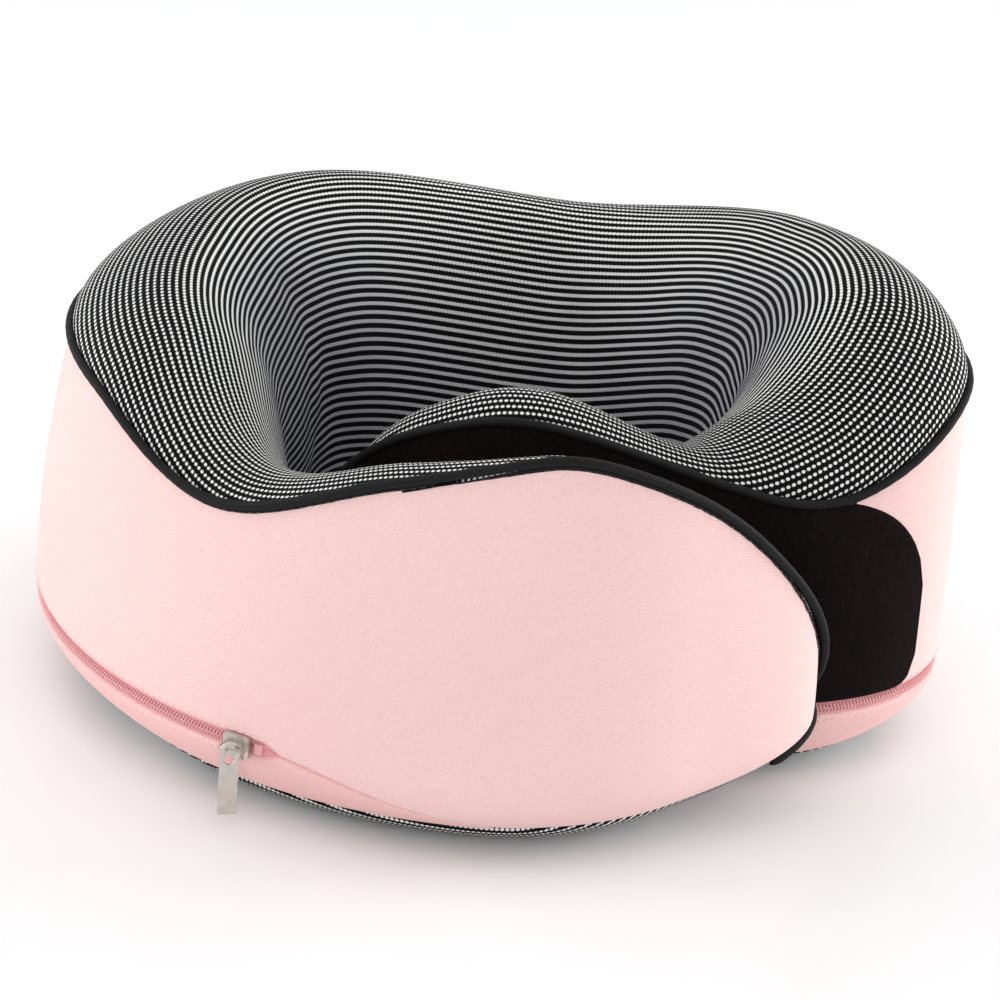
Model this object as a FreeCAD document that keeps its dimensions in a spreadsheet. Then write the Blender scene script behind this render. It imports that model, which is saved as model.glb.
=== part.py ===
"""U-shaped travel neck pillow, closed into a ring with its left arm lapped over its right arm.

Frame: +Z up, front towards -Y, the wearer's left-hand arm at -X.  The ring is an oval in plan.
Every soft layer is a loft through upright sections of that oval, so one section outline, in
(outward, up), places the foam, the cover panels, the piping, the zipper and the patches.
"""
import FreeCAD, Part
import os
import Sketcher
from math import atan2, cos, degrees, hypot, radians, sin
from FreeCAD import Placement, Rotation, Vector

doc = FreeCAD.newDocument("neck_pillow")
sheet = doc.addObject("Spreadsheet::Sheet", "Sizes")

# ------------------------------------------------------------------ driving sizes, in mm and degrees
SIZES = {
    "overall_width": 296.0,         # across the oval, at the zipper level
    "overall_depth": 254.0,         # front to back of the oval
    "cover_thick": 2.0,             # knit cover with its backing
    "foam_inset": 3.0,              # outer skin to foam: cover, zipper tape and a lining gap
    "split_gap": 0.6,               # between an arm and the back where the foam bends
    "seam_gap": 0.5,                # between two cover panels along a sewn seam
    "lap_gap": 3.8,                 # between the left arm's inside and the right arm's outside
    "edge_curl": 12.0,              # how far the outer face curls in under the zipper level
    "left_tip": 241.0,              # ring angle where the left arm ends
    "right_tip": 213.0,             # ring angle where the right arm ends
    "left_tip_level": 36.0,         # height of the left arm's rounded tip
    "right_tip_level": 50.0,        # height of the right arm's rounded tip
    "arm_trim": 4.0,                # ring angle between a tip and the last section
    "piping_radius": 1.8,
    "piping_stand": 0.9,            # how far the piping stands proud of the edge
    "piping_room": 2.7,             # cover edge to the edge line, along the cover
    "zip_level": 27.0,              # height of the zipper
    "zip_start": 158.5,             # ring angle of the parked slider, on the left arm
    "zip_stop": 118.0,              # ring angle of the far end, on the right arm
    "zip_opening": 4.8,             # between the two cover edges beside the coil
    "coil_radius": 1.0,
    "coil_depth": 1.1,              # outer skin to the coil's middle
    "tape_thick": 0.5,
    "tape_gap": 0.3,                # cover panel to the tape behind it
    "tape_wide": 9.0,
    "seam_foot": 190.0,             # ring angle where the seam past the zipper reaches the lower edge
    "patch_start": 98.0,            # ring angle of the loop patch's free edge, on the right arm
    "hook_from": 166.0,
    "hook_upto": 222.0,
    "hook_thick": 1.1,
    "hook_stand": 0.3,              # hook patch to the knit that it is sewn on
    "slider_long": 9.0,
    "slider_tall": 7.6,
    "slider_plate": 1.2,
    "slider_stand": 0.5,            # outer skin to the slider's plate
    "slider_play": 0.42,            # flange to coil and flange to cover edge
    "bridge_long": 8.0,
    "bridge_tall": 1.0,             # the bridge's bar is as thick as it is tall
    "bridge_rise": 3.6,
    "bridge_leg": 0.8,
    "tab_long": 25.0,
    "tab_wide": 6.0,
    "tab_thick": 0.8,
    "tab_eye_long": 6.6,
    "tab_eye_wide": 3.2,
    "tab_rim": 1.2,                 # tab's top edge to its eye
    "tab_drop": 1.3,                # eye's top to the bar, so that the turned eye clears it
    "tab_turn": 45.0,               # angle that the hanging tab is turned to the zipper line
    "stopper_long": 2.6,
    "stopper_thick": 1.4,
    "stopper_room": 0.3,
    "stopper_sink": 0.2,
    "stopper_space": 1.0,
    "slider_corner": 1.4,
    "flange_setback": 1.2,
    "flange_reach": 0.4,
    "bar_rounding": 0.3,
    "rim_rounding": 0.2,
}

# One row per ring angle, counted from the middle of the back.
COLUMNS = ("angle", "piping", "crest", "thick", "lower", "lowest", "crest_share", "lean")
LEFT_ROWS = (
    (0, 100, 135, 68, 10, 0, 0.42, 5),
    (45, 108, 145, 78, 12, 6, 0.44, 7),
    (90, 116, 143, 84, 12, 9, 0.46, 10),
    (126, 116, 133, 74, 10, 4, 0.42, 7),
    (152, 101, 106.5, 60, 8, 0, 0.34, 5),
    (176, 122, 122.5, 52, 8, 0, 0.28, 5),
    (200, 135, 132, 48, 9, 1, 0.24, 5),
)
RIGHT_ROWS = (
    (0, 100, 135, 68, 10, 0, 0.42, 5),
    (45, 114, 151, 78, 10, 4, 0.42, 4),
    (84, 124, 151, 82, 10, 4, 0.42, 3),
    (112, 98, 118, 72, 6, 1, 0.38, 5),
    (132, 103, 108, 60, 5, 0, 0.32, 5),
    (166, 122, 127, 50, 5, 0, 0.30, 5),
    (190, 119, 124, 46, 6, 1, 0.30, 5),
)


def fill_sheet():
    """Write the driving sizes, then one line of cells for each section row."""
    for line, (name, value) in enumerate(SIZES.items(), start=1):
        sheet.set(f"A{line}", name)
        sheet.set(f"B{line}", str(value))
        sheet.setAlias(f"B{line}", name)
    line = len(SIZES) + 2
    for side, rows in (("left", LEFT_ROWS), ("right", RIGHT_ROWS)):
        for number, row in enumerate(rows):
            for letter, column, value in zip("ABCDEFGH", COLUMNS, row):
                sheet.set(f"{letter}{line}", str(value))
                sheet.setAlias(f"{letter}{line}", f"{side}_row{number}_{column}")
            line += 1
    doc.recompute()


def size(name):
    """The value of one named cell."""
    return float(getattr(sheet, name))


def read_rows(side, count):
    """A side's section rows, as the sheet holds them."""
    return [{column: size(f"{side}_row{number}_{column}") for column in COLUMNS} for number in range(count)]


fill_sheet()
ROWS = {"left": read_rows("left", len(LEFT_ROWS)), "right": read_rows("right", len(RIGHT_ROWS))}
HALF_WIDE = size("overall_width") / 2
HALF_DEEP = size("overall_depth") / 2
FULL_LAYERS = 28.0                  # where an arm is thinner than this, its layers thin out with it

# Ring angles over which the arms shape themselves.
LAP_EASE = (84, 146)                # the right arm's outer face sets in behind the left arm
STEP_IN = (170, 198)                # the left arm leaves the oval to lie on the right arm
# Ring angles before a tip over which the upper edge, the lower edge and the thickness reach full size,
# and the power of each rounded rise: 2 is a round end, less is a more pointed one.
TIP_RUNS = {"left": ((48, 1.55), (50, 1.8), (60, 2.0)), "right": ((40, 2.0), (36, 2.0), (50, 2.0))}
HOLLOW_SEAM = 0.74                  # share of the inner line where the top panel meets the bottom panel
HOOK_SHARES = (0.34, 0.66)          # share of the inner line that the hook patch covers


# ------------------------------------------------------------------ section outline
def between(rows, column, angle):
    """Smooth value of a column at a ring angle, level at the first and the last row."""
    angle = min(max(angle, rows[0]["angle"]), rows[-1]["angle"])
    place = 0
    while place < len(rows) - 2 and angle >= rows[place + 1]["angle"]:
        place += 1
    here, there = rows[place], rows[place + 1]
    span = there["angle"] - here["angle"]
    share = (angle - here["angle"]) / span
    start_slope = row_slope(rows, place, column) * span
    end_slope = row_slope(rows, place + 1, column) * span
    return (here[column] * (1 + 2 * share) * (1 - share) ** 2 + start_slope * share * (1 - share) ** 2
            + there[column] * share ** 2 * (3 - 2 * share) + end_slope * share ** 2 * (share - 1))


def row_slope(rows, place, column):
    """Slope of a column at a row, from its two neighbours."""
    if place in (0, len(rows) - 1):
        return 0.0
    before, after = rows[place - 1], rows[place + 1]
    return (after[column] - before[column]) / (after["angle"] - before["angle"])


def ease(value, start, end):
    """0 before start, 1 after end, smooth in between."""
    share = min(max((value - start) / (end - start), 0.0), 1.0)
    return share * share * (3 - 2 * share)


def dome(share, power=2.0):
    """Rounded rise from 0 at a tip to 1 where the arm has its full section."""
    share = min(max(share, 0.0), 1.0)
    return (1 - (1 - share) ** power) ** (1 / power)


def lap_depth(angle):
    """How far the right arm's outer face is set in from the oval, so that the left arm laps over it."""
    room = between(ROWS["left"], "thick", 360 - angle) + size("lap_gap")
    return room * ease(angle, *LAP_EASE)


def tip_shares(side, angle):
    """How much of their full height the upper and the lower edge have reached, and the thickness."""
    left = size(f"{side}_tip") - angle
    return [dome(left / run, power) for run, power in TIP_RUNS[side]]


def edge_level(side, angle):
    """Height of the piping edge."""
    tip = size(f"{side}_tip_level")
    return tip + (between(ROWS[side], "piping", angle) - tip) * tip_shares(side, angle)[0]


class Section:
    """One upright cut across the ring at a ring angle: its place in plan and its outline."""

    def __init__(self, side, angle):
        turn = radians(angle)
        across = 1 if side == "right" else -1
        self.base = Vector(across * HALF_WIDE * sin(turn), HALF_DEEP * cos(turn), 0)
        self.out = Vector(across * sin(turn) / HALF_WIDE, cos(turn) / HALF_DEEP, 0).normalize()
        row = {column: between(ROWS[side], column, angle) for column in COLUMNS}
        tip = size(f"{side}_tip_level")
        top_share, low_share, self.round = tip_shares(side, angle)
        thick = row["thick"] * self.round
        if side == "left":
            self.face = (size("lap_gap") - lap_depth(360 - angle) + thick) * ease(angle, *STEP_IN)
        else:
            self.face = -lap_depth(angle)
        self.thick = thick
        self.top = edge_level(side, angle)
        self.crest = tip + (row["crest"] - tip) * top_share
        self.low = tip - (tip - row["lower"]) * low_share
        self.lowest = tip - (tip - row["lowest"]) * low_share
        self.zip = tip - (tip - size("zip_level")) * low_share
        self.lean = row["lean"] * self.round
        self.curl = size("edge_curl") * self.round
        self.crest_share = row["crest_share"]
        self.scale = min(1.0, thick / FULL_LAYERS)
        self.piping_room = size("piping_room") * hypot(1.0, self.steepness(side, angle))
        self.outer = self.outer_line()
        self.inner = self.inner_line()

    def steepness(self, side, angle):
        """Rise of the piping edge over its run along the ring: large where it turns down round a tip."""
        step = 0.5
        run = radians(step) * HALF_WIDE
        return (edge_level(side, angle - step) - edge_level(side, angle)) / run

    def outer_reach(self, level):
        """Outward place of the outer face at a height: straightest at the zipper, curled in below it."""
        if level >= self.zip:
            return self.face - self.lean * ((level - self.zip) / (self.top - self.zip)) ** 2
        return self.face - self.curl * ((self.zip - level) / (self.zip - self.low)) ** 2

    def outer_line(self):
        """Outer face from the piping edge down to the lower edge."""
        levels = [self.top + (self.low - self.top) * step / 12 for step in range(13)]
        return spline([Vector(self.outer_reach(level), level, 0) for level in levels])

    def inner_line(self):
        """From the piping edge over the crest, down the neck hollow and under to the lower edge."""
        edge_out, foot_out = self.face - self.lean, self.face - self.curl
        tall, thick = self.top - self.low, self.thick
        return spline([
            Vector(edge_out, self.top, 0),
            Vector(edge_out - 0.22 * self.crest_share * thick, self.top + 0.55 * (self.crest - self.top), 0),
            Vector(edge_out - self.crest_share * thick, self.crest, 0),
            Vector(self.face - 0.80 * thick, self.crest - 0.16 * tall, 0),
            Vector(self.face - 1.00 * thick, self.low + 0.52 * tall, 0),
            Vector(self.face - 0.92 * thick, self.low + 0.14 * tall, 0),
            Vector(self.face - 0.55 * thick, self.lowest, 0),
            Vector(foot_out - 0.12 * thick, self.lowest + 0.25 * (self.low - self.lowest), 0),
            Vector(foot_out, self.low, 0),
        ])

    def world(self, flat):
        """A point of the outline, (outward, up), put in its place on the ring."""
        return self.base + self.out * flat.x + Vector(0, 0, flat.y)

    def layer(self, line, start, end, depth, count=9):
        """Points along a line of the outline, a depth under the skin, from one length along it to another."""
        inward = 1 if line is self.inner else -1
        points = []
        for step in range(count):
            at = line.parameterAtDistance(start + (end - start) * step / (count - 1), line.FirstParameter)
            along = line.tangent(at)[0]
            points.append(self.world(line.value(at) + Vector(-along.y, along.x, 0) * depth * inward * self.scale))
        return points

    def length_at_level(self, level):
        """Length along the outer face, from the piping edge down to a height."""
        low, high = 0.0, self.outer.length()
        for _ in range(30):
            middle = (low + high) / 2
            at = self.outer.parameterAtDistance(middle, self.outer.FirstParameter)
            if self.outer.value(at).y > level:
                low = middle
            else:
                high = middle
        return low

    def edge_point(self):
        """Middle of the piping, which stands proud of the upper edge."""
        corner = self.outer.value(self.outer.FirstParameter)
        down = self.outer.tangent(self.outer.FirstParameter)[0]
        over = self.inner.tangent(self.inner.FirstParameter)[0]
        away = Vector(-down.y + over.y, down.x - over.x, 0).normalize()
        return self.world(corner + away * size("piping_stand"))


def spline(points):
    """Smooth curve through points, spaced evenly in its own parameter where the points are."""
    steps = [0.0]
    for first, second in zip(points, points[1:]):
        steps.append(steps[-1] + max((second - first).Length, 0.01) ** 0.5)
    curve = Part.BSplineCurve()
    curve.interpolate(Points=points, Parameters=[step / steps[-1] for step in steps])
    return curve


def even_spline(points):
    """Smooth edge through points at evenly spaced parameters, so that lofted sections match."""
    curve = Part.BSplineCurve()
    curve.interpolate(Points=points, Parameters=[step / (len(points) - 1) for step in range(len(points))])
    return curve.toShape()


def closed_wire(near, far):
    """Wire along one row of points, across its end, and back along the other row."""
    back = far[::-1]
    edges = [even_spline(near), Part.makeLine(near[-1], back[0])]
    edges += [even_spline(back), Part.makeLine(back[-1], near[0])]
    return Part.Wire(edges)


# ------------------------------------------------------------------ stretches of the ring
def spread(start, end, count, crowd=1.0):
    """Ring angles from start to end, closer together towards the end where crowd is over 1."""
    return [end + (start - end) * (1 - step / (count - 1)) ** crowd for step in range(count)]


SPLIT_ANGLE = 90.0
ARM_START = SPLIT_ANGLE + degrees(size("split_gap") / HALF_DEEP)
ZIP_END = size("zip_start") + degrees((size("slider_long") / 2 + size("stopper_long") + 2) / HALF_WIDE)
ZIP_CLOSE = 2.0                     # ring angle over which the zipper opening closes into a seam
BAND_END = size("seam_foot") - 6
RIGHT_ZIP_END = size("zip_stop") + 2
PINK_END = size("patch_start") - 0.2

# All layers are cut by the same sections, so that they stay apart between two of them as well.
ANGLES = {
    "left": spread(ARM_START, size("zip_start"), 22) + spread(size("zip_start"), ZIP_END, 3)[1:]
            + spread(ZIP_END, ZIP_END + ZIP_CLOSE, 3)[1:] + spread(ZIP_END + ZIP_CLOSE, BAND_END, 6)[1:]
            + spread(BAND_END, size("left_tip") - size("arm_trim"), 17, 1.3)[1:],
    "right": spread(ARM_START, PINK_END, 4) + spread(size("patch_start"), size("zip_stop"), 7)
             + [RIGHT_ZIP_END] + spread(RIGHT_ZIP_END, size("right_tip") - size("arm_trim"), 24, 1.3)[1:],
}
ARMS = {side: [(angle, Section(side, angle)) for angle in ANGLES[side]] for side in ANGLES}


def arm_stretch(side, start=0.0, end=360.0):
    """An arm's sections between two ring angles."""
    return [section for angle, section in ARMS[side] if start - 0.01 <= angle <= end + 0.01]


def back_sections():
    """Sections round the back, from the left split over the middle to the right split."""
    left = [Section("left", angle) for angle in spread(SPLIT_ANGLE, 0, 17)]
    right = [Section("right", angle) for angle in spread(0, SPLIT_ANGLE, 17)[1:]]
    return left + right


def loft(sections, outline):
    """Solid through the wire that outline makes of each section, straight from one to the next."""
    return Part.makeLoft([outline(section) for section in sections], True, True)


# ------------------------------------------------------------------ soft pieces
def foam_outline(section):
    """Foam core under the cover, tapes and lining gap."""
    depth = size("foam_inset")
    top_trim, low_trim = depth * 1.2, depth * 1.2 * section.scale
    outside = section.layer(section.outer, top_trim, section.outer.length() - low_trim, depth, 13)
    inside = section.layer(section.inner, top_trim, section.inner.length() - low_trim, depth, 17)
    return closed_wire(outside, inside)


def cover_outline(section, line, start, end, count=9):
    """Cover panel from the skin inward, between two lengths along a line of the outline."""
    near = section.layer(line, start, end, 0.0, count)
    far = section.layer(line, start, end, size("cover_thick"), count)
    return closed_wire(near, far)


def hollow_seam(section):
    """Length along the inner line where the top panel meets the bottom panel."""
    return section.inner.length() * HOLLOW_SEAM


def top_outline(section):
    """Top panel: piping edge, crest and neck hollow."""
    end = hollow_seam(section) - size("seam_gap") / 2
    return cover_outline(section, section.inner, section.piping_room, end, 15)


def bottom_outline(section):
    """Bottom panel: foot of the neck hollow, underside, lower edge."""
    end = section.inner.length() - size("seam_gap") * section.scale
    return cover_outline(section, section.inner, hollow_seam(section) + size("seam_gap") / 2, end)


def side_outline(seam_level, opening):
    """Outline maker for the upper side panel, down to a seam height that it works out by section."""
    def outline(section):
        end = section.length_at_level(seam_level(section)) - opening(section) / 2
        return cover_outline(section, section.outer, section.piping_room, end)
    return outline


def band_outline(seam_level, opening):
    """Outline maker for the lower side band, under the same seam."""
    def outline(section):
        start = section.length_at_level(seam_level(section)) + opening(section) / 2
        end = section.outer.length() - size("seam_gap") * section.scale
        return cover_outline(section, section.outer, start, end)
    return outline


def zip_level(section):
    """The seam at the zipper's own level."""
    return section.zip


def zip_gap(section):
    """Opening beside the coil."""
    return size("zip_opening") * section.scale


def seam_only(section):
    """Opening of a plain sewn seam."""
    return size("seam_gap") * section.scale


def tape_outline(upper):
    """Outline maker for a zipper tape, behind the cover edge above or below the coil."""
    def outline(section):
        middle = section.length_at_level(section.zip)
        start = middle - size("tape_wide") - 0.4 if upper else middle + 0.4
        front = size("cover_thick") + size("tape_gap")
        near = section.layer(section.outer, start, start + size("tape_wide"), front, 5)
        far = section.layer(section.outer, start, start + size("tape_wide"), front + size("tape_thick"), 5)
        return closed_wire(near, far)
    return outline


def hook_outline(section):
    """Hook patch, standing on the inner face of the left arm."""
    start, end = (share * section.inner.length() for share in HOOK_SHARES)
    near = section.layer(section.inner, start, end, -size("hook_stand") - size("hook_thick"))
    far = section.layer(section.inner, start, end, -size("hook_stand"))
    return closed_wire(near, far)


def tube(points, radius):
    """Round solid that follows points, one circle square to the path at each."""
    path = spline(points)
    rings = []
    for point in points:
        along = path.tangent(path.parameter(point))[0]
        rings.append(Part.Wire(Part.Circle(point, along, radius).toShape()))
    return Part.makeLoft(rings, True, True)


def coil_points(sections):
    """Middle line of the zipper coil, just under the skin at the zipper level."""
    points = []
    for section in sections:
        length = section.length_at_level(section.zip)
        points += section.layer(section.outer, length, length + 0.1, size("coil_depth"), 2)[:1]
    return points


# ------------------------------------------------------------------ document objects
NODES = []


def add_soft(name, shape):
    """A free-form piece, as a feature that holds its worked-out shape."""
    feature = doc.addObject("Part::Feature", name)
    feature.Shape = shape
    feature.Label = name
    NODES.append(feature)
    return feature


def make_stretch(name, sections):
    """Foam, top panel and bottom panel of one stretch of the ring."""
    add_soft(f"{name}_foam_core", loft(sections, foam_outline))
    add_soft(f"{name}_top_panel", loft(sections, top_outline))
    add_soft(f"{name}_bottom_panel", loft(sections, bottom_outline))


def make_zip(name, sections, coil_sections):
    """The two tapes and the coil of one stretch of the zipper."""
    add_soft(f"{name}_zipper_tape_upper", loft(sections, tape_outline(True)))
    add_soft(f"{name}_zipper_tape_lower", loft(sections, tape_outline(False)))
    add_soft(f"{name}_zipper_coil", tube(coil_points(coil_sections), size("coil_radius")))


def arm_piping(side):
    """Piping along an arm's upper edge and down round its tip."""
    last = size(f"{side}_tip") - size("arm_trim")
    tip = [Section(side, angle) for angle in spread(last, last + size("arm_trim") * 0.7, 6)[1:]]
    points = [section.edge_point() for section in arm_stretch(side) + tip]
    add_soft(f"{side}_piping", tube(points, size("piping_radius")))


def make_back():
    """Back of the ring, behind both splits."""
    sections = back_sections()
    make_stretch("back", sections)
    add_soft("back_side_panel", loft(sections, side_outline(zip_level, zip_gap)))
    add_soft("back_side_band", loft(sections, band_outline(zip_level, zip_gap)))
    add_soft("back_piping", tube([section.edge_point() for section in sections], size("piping_radius")))
    make_zip("back", sections, sections)


def left_seam_level(section):
    """Past the zipper the left seam runs down to the lower edge."""
    along = degrees(atan2(-section.base.x / HALF_WIDE, section.base.y / HALF_DEEP)) % 360
    drop = ease(along, size("zip_start") + 2, size("seam_foot") + 4)
    return section.zip - (section.zip - section.low) * drop


def left_opening(section):
    """The left zipper opening closes into a seam past the slider."""
    along = degrees(atan2(-section.base.x / HALF_WIDE, section.base.y / HALF_DEEP)) % 360
    shut = ease(along, ZIP_END, ZIP_END + ZIP_CLOSE)
    return size("zip_opening") * (1 - shut) + size("seam_gap") * shut * section.scale


def make_left_arm():
    """Left arm: it laps over the right arm and carries the parked slider."""
    whole = arm_stretch("left")
    make_stretch("left", whole)
    add_soft("left_side_panel", loft(whole, side_outline(left_seam_level, left_opening)))
    band = arm_stretch("left", end=BAND_END)
    add_soft("left_side_band", loft(band, band_outline(left_seam_level, left_opening)))
    arm_piping("left")
    make_zip("left", arm_stretch("left", end=ZIP_END), arm_stretch("left", end=size("zip_start")))
    hook = arm_stretch("left", size("hook_from"), size("hook_upto"))
    add_soft("hook_patch", loft(hook, hook_outline))


def make_right_arm():
    """Right arm: it tucks behind the left arm and carries the loop patch."""
    whole = arm_stretch("right")
    make_stretch("right", whole)
    pink = arm_stretch("right", end=PINK_END)
    add_soft("right_side_panel", loft(pink, side_outline(zip_level, zip_gap)))
    patch = arm_stretch("right", size("patch_start"))
    add_soft("loop_patch", loft(patch, side_outline(zip_level, zip_gap)))
    add_soft("right_side_band", loft(whole, band_outline(zip_level, zip_gap)))
    arm_piping("right")
    make_zip("right", arm_stretch("right", end=RIGHT_ZIP_END), arm_stretch("right", end=size("zip_stop")))


# ------------------------------------------------------------------ zipper slider, pull tab and stoppers
def track_placement(side, angle, depth=0.0):
    """Frame on the zipper line: Y outward, Z up and X along the track."""
    before, here, after = (zip_point(side, angle + step) for step in (-1, 0, 1))
    along = (after - before).normalize() * (1 if side == "right" else -1)
    out = Vector(0, 0, 1).cross(along)
    turn = FreeCAD.Matrix(along.x, out.x, 0, 0, along.y, out.y, 0, 0, 0, 0, 1, 0, 0, 0, 0, 1)
    return Placement(here - out * depth, Rotation(turn))


def zip_point(side, angle):
    """Point of the zipper line on the skin."""
    section = Section(side, angle)
    return section.world(Vector(section.face, section.zip, 0))


def plane_of(body, role):
    """One of a body's own origin planes."""
    return next(plane for plane in body.Origin.OriginFeatures if plane.Role == role)


def add_sketch(body, name, role, offset):
    """Empty sketch on an origin plane of its own body, moved along that plane's normal."""
    sketch = body.newObject("Sketcher::SketchObject", name)
    sketch.AttachmentSupport = (plane_of(body, role), [""])
    sketch.MapMode = "FlatFace"
    sketch.AttachmentOffset = Placement(Vector(0, 0, offset), Rotation())
    return sketch


def add_rectangle(sketch, width, height):
    """Rectangle about the sketch's origin, its two sizes named cells or sums of them."""
    corners = [Vector(-2, -2, 0), Vector(2, -2, 0), Vector(2, 2, 0), Vector(-2, 2, 0)]
    from_line = sketch.GeometryCount
    for first, second in zip(corners, corners[1:] + corners[:1]):
        sketch.addGeometry(Part.LineSegment(first, second), False)
    join_ends(sketch, from_line, ("Coincident",) * 4)
    for step, kind in enumerate(("Horizontal", "Vertical", "Horizontal", "Vertical")):
        sketch.addConstraint(Sketcher.Constraint(kind, from_line + step))
    sketch.addConstraint(Sketcher.Constraint("Symmetric", from_line, 1, from_line + 2, 1, -1, 1))
    bind(sketch, Sketcher.Constraint("Distance", from_line, 4.0), width)
    bind(sketch, Sketcher.Constraint("Distance", from_line + 1, 4.0), height)


def join_ends(sketch, first, kinds):
    """Join four geometry items in a ring, each to the next with its own kind of constraint."""
    for step, kind in enumerate(kinds):
        sketch.addConstraint(Sketcher.Constraint(kind, first + step, 2, first + (step + 1) % 4, 1))


def add_slot(sketch, length, width):
    """Upright outline with two round ends about the sketch's origin."""
    first = sketch.GeometryCount
    up = Vector(0, 0, 1)
    sketch.addGeometry(Part.ArcOfCircle(Part.Circle(Vector(0, 4, 0), up, 2), 0, radians(180)), False)
    sketch.addGeometry(Part.LineSegment(Vector(-2, 4, 0), Vector(-2, -4, 0)), False)
    sketch.addGeometry(Part.ArcOfCircle(Part.Circle(Vector(0, -4, 0), up, 2), radians(180), radians(360)), False)
    sketch.addGeometry(Part.LineSegment(Vector(2, -4, 0), Vector(2, 4, 0)), False)
    join_ends(sketch, first, ("Tangent",) * 4)
    sketch.addConstraint(Sketcher.Constraint("Vertical", first + 1))
    sketch.addConstraint(Sketcher.Constraint("Vertical", first + 3))
    sketch.addConstraint(Sketcher.Constraint("Symmetric", first, 3, first + 2, 3, -1, 1))
    bind(sketch, Sketcher.Constraint("Radius", first, 2.0), f"({width}) / 2")
    bind(sketch, Sketcher.Constraint("Distance", first, 3, first + 2, 3, 8.0), f"({length}) - ({width})")


def add_arched_blade(sketch, length, width):
    """Upright outline with a round top and a square foot, its foot's middle at the sketch's origin."""
    first = sketch.GeometryCount
    up = Vector(0, 0, 1)
    sketch.addGeometry(Part.ArcOfCircle(Part.Circle(Vector(0, 8, 0), up, 2), 0, radians(180)), False)
    sketch.addGeometry(Part.LineSegment(Vector(-2, 8, 0), Vector(-2, 0, 0)), False)
    sketch.addGeometry(Part.LineSegment(Vector(-2, 0, 0), Vector(2, 0, 0)), False)
    sketch.addGeometry(Part.LineSegment(Vector(2, 0, 0), Vector(2, 8, 0)), False)
    join_ends(sketch, first, ("Tangent", "Coincident", "Coincident", "Tangent"))
    sketch.addConstraint(Sketcher.Constraint("Vertical", first + 1))
    sketch.addConstraint(Sketcher.Constraint("Horizontal", first + 2))
    sketch.addConstraint(Sketcher.Constraint("Vertical", first + 3))
    sketch.addConstraint(Sketcher.Constraint("Symmetric", first + 2, 1, first + 2, 2, -1, 1))
    bind(sketch, Sketcher.Constraint("Radius", first, 2.0), f"({width}) / 2")
    bind(sketch, Sketcher.Constraint("DistanceY", -1, 1, first, 3, 8.0), f"({length}) - ({width}) / 2")


def bind(sketch, constraint, cells):
    """Add a constraint whose value is a named cell or a sum of them."""
    number = sketch.addConstraint(constraint)
    sketch.setExpression(f"Constraints[{number}]", cells)


def add_pad(body, name, sketch, length, kind="PartDesign::Pad", reverse=False):
    """Pad or pocket of a sketch, its length a named cell or a sum of them."""
    feature = body.newObject(kind, name)
    feature.Profile = sketch
    feature.setExpression("Length", length)
    feature.Reversed = reverse
    body.Tip = feature
    return feature


def round_edges(body, name, radius, wanted):
    """Fillet on the edges of the body's last feature that wanted picks."""
    doc.recompute()
    base = body.Tip
    picked = [f"Edge{number}" for number, edge in enumerate(base.Shape.Edges, start=1) if wanted(edge)]
    fillet = body.newObject("PartDesign::Fillet", name)
    fillet.Base = (base, picked)
    fillet.setExpression("Radius", f"Sizes.{radius}")
    body.Tip = fillet


def make_slider():
    """Slider: a face plate over the coil, two flanges beside the coil and a bridge for the pull tab."""
    body = doc.addObject("PartDesign::Body", "zipper_slider")
    body.Label = "zipper_slider"
    plate = add_sketch(body, "PlateOutline", "XZ_Plane", 0)
    plate.setExpression("AttachmentOffset.Base.z", "-Sizes.slider_stand")
    add_rectangle(plate, "Sizes.slider_long", "Sizes.slider_tall")
    add_pad(body, "Plate", plate, "Sizes.slider_plate", reverse=True)
    round_edges(body, "PlateCorners", "slider_corner", lambda edge: abs(edge.tangentAt(edge.FirstParameter).y) > 0.9)
    for name, sign in (("Upper", ""), ("Lower", "-")):
        flange = add_sketch(body, f"{name}FlangeOutline", "XZ_Plane", 0)
        flange.setExpression("AttachmentOffset.Base.z", "-Sizes.slider_stand")
        middle = "((Sizes.coil_radius + Sizes.zip_opening / 2) / 2)"
        flange.setExpression("AttachmentOffset.Base.y", f"{sign}{middle}")
        add_rectangle(flange, "Sizes.slider_long - 2 * Sizes.flange_setback",
                      "Sizes.zip_opening / 2 - Sizes.coil_radius - 2 * Sizes.slider_play")
        add_pad(body, f"{name}Flange", flange, "Sizes.slider_stand + Sizes.coil_depth + Sizes.flange_reach")
    arch = add_sketch(body, "BridgeOutline", "XZ_Plane", 0)
    arch.setExpression("AttachmentOffset.Base.z", "-Sizes.slider_stand - Sizes.slider_plate")
    add_rectangle(arch, "Sizes.bridge_long", "Sizes.bridge_tall")
    add_pad(body, "Bridge", arch, "Sizes.bridge_rise", reverse=True)
    eye = add_sketch(body, "BridgeEye", "XY_Plane", 0)
    eye.setExpression("AttachmentOffset.Base.y",
                      "Sizes.slider_stand + Sizes.slider_plate + (Sizes.bridge_rise - Sizes.bridge_tall) / 2")
    add_rectangle(eye, "Sizes.bridge_long - 2 * Sizes.bridge_leg", "Sizes.bridge_rise - Sizes.bridge_tall")
    pocket = add_pad(body, "BridgeOpening", eye, "Sizes.bridge_tall + 2", "PartDesign::Pocket")
    pocket.Midplane = True
    round_edges(body, "BridgeRounding", "bar_rounding", is_bar_edge)
    body.Placement = track_placement("left", size("zip_start"))
    NODES.append(body)


def is_bar_edge(edge):
    """Edges of the bridge's bar that run along the zipper, between its legs."""
    middle = edge.CenterOfMass
    along = abs(edge.tangentAt(edge.FirstParameter).x) > 0.99
    return along and middle.y > bar_reach() - size("bridge_tall") and abs(middle.z) < size("bridge_tall")


def bar_reach():
    """Middle of the bridge's bar, outward from the skin: the tab turns about it."""
    return size("slider_stand") + size("slider_plate") + size("bridge_rise") - size("bridge_tall") / 2


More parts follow.
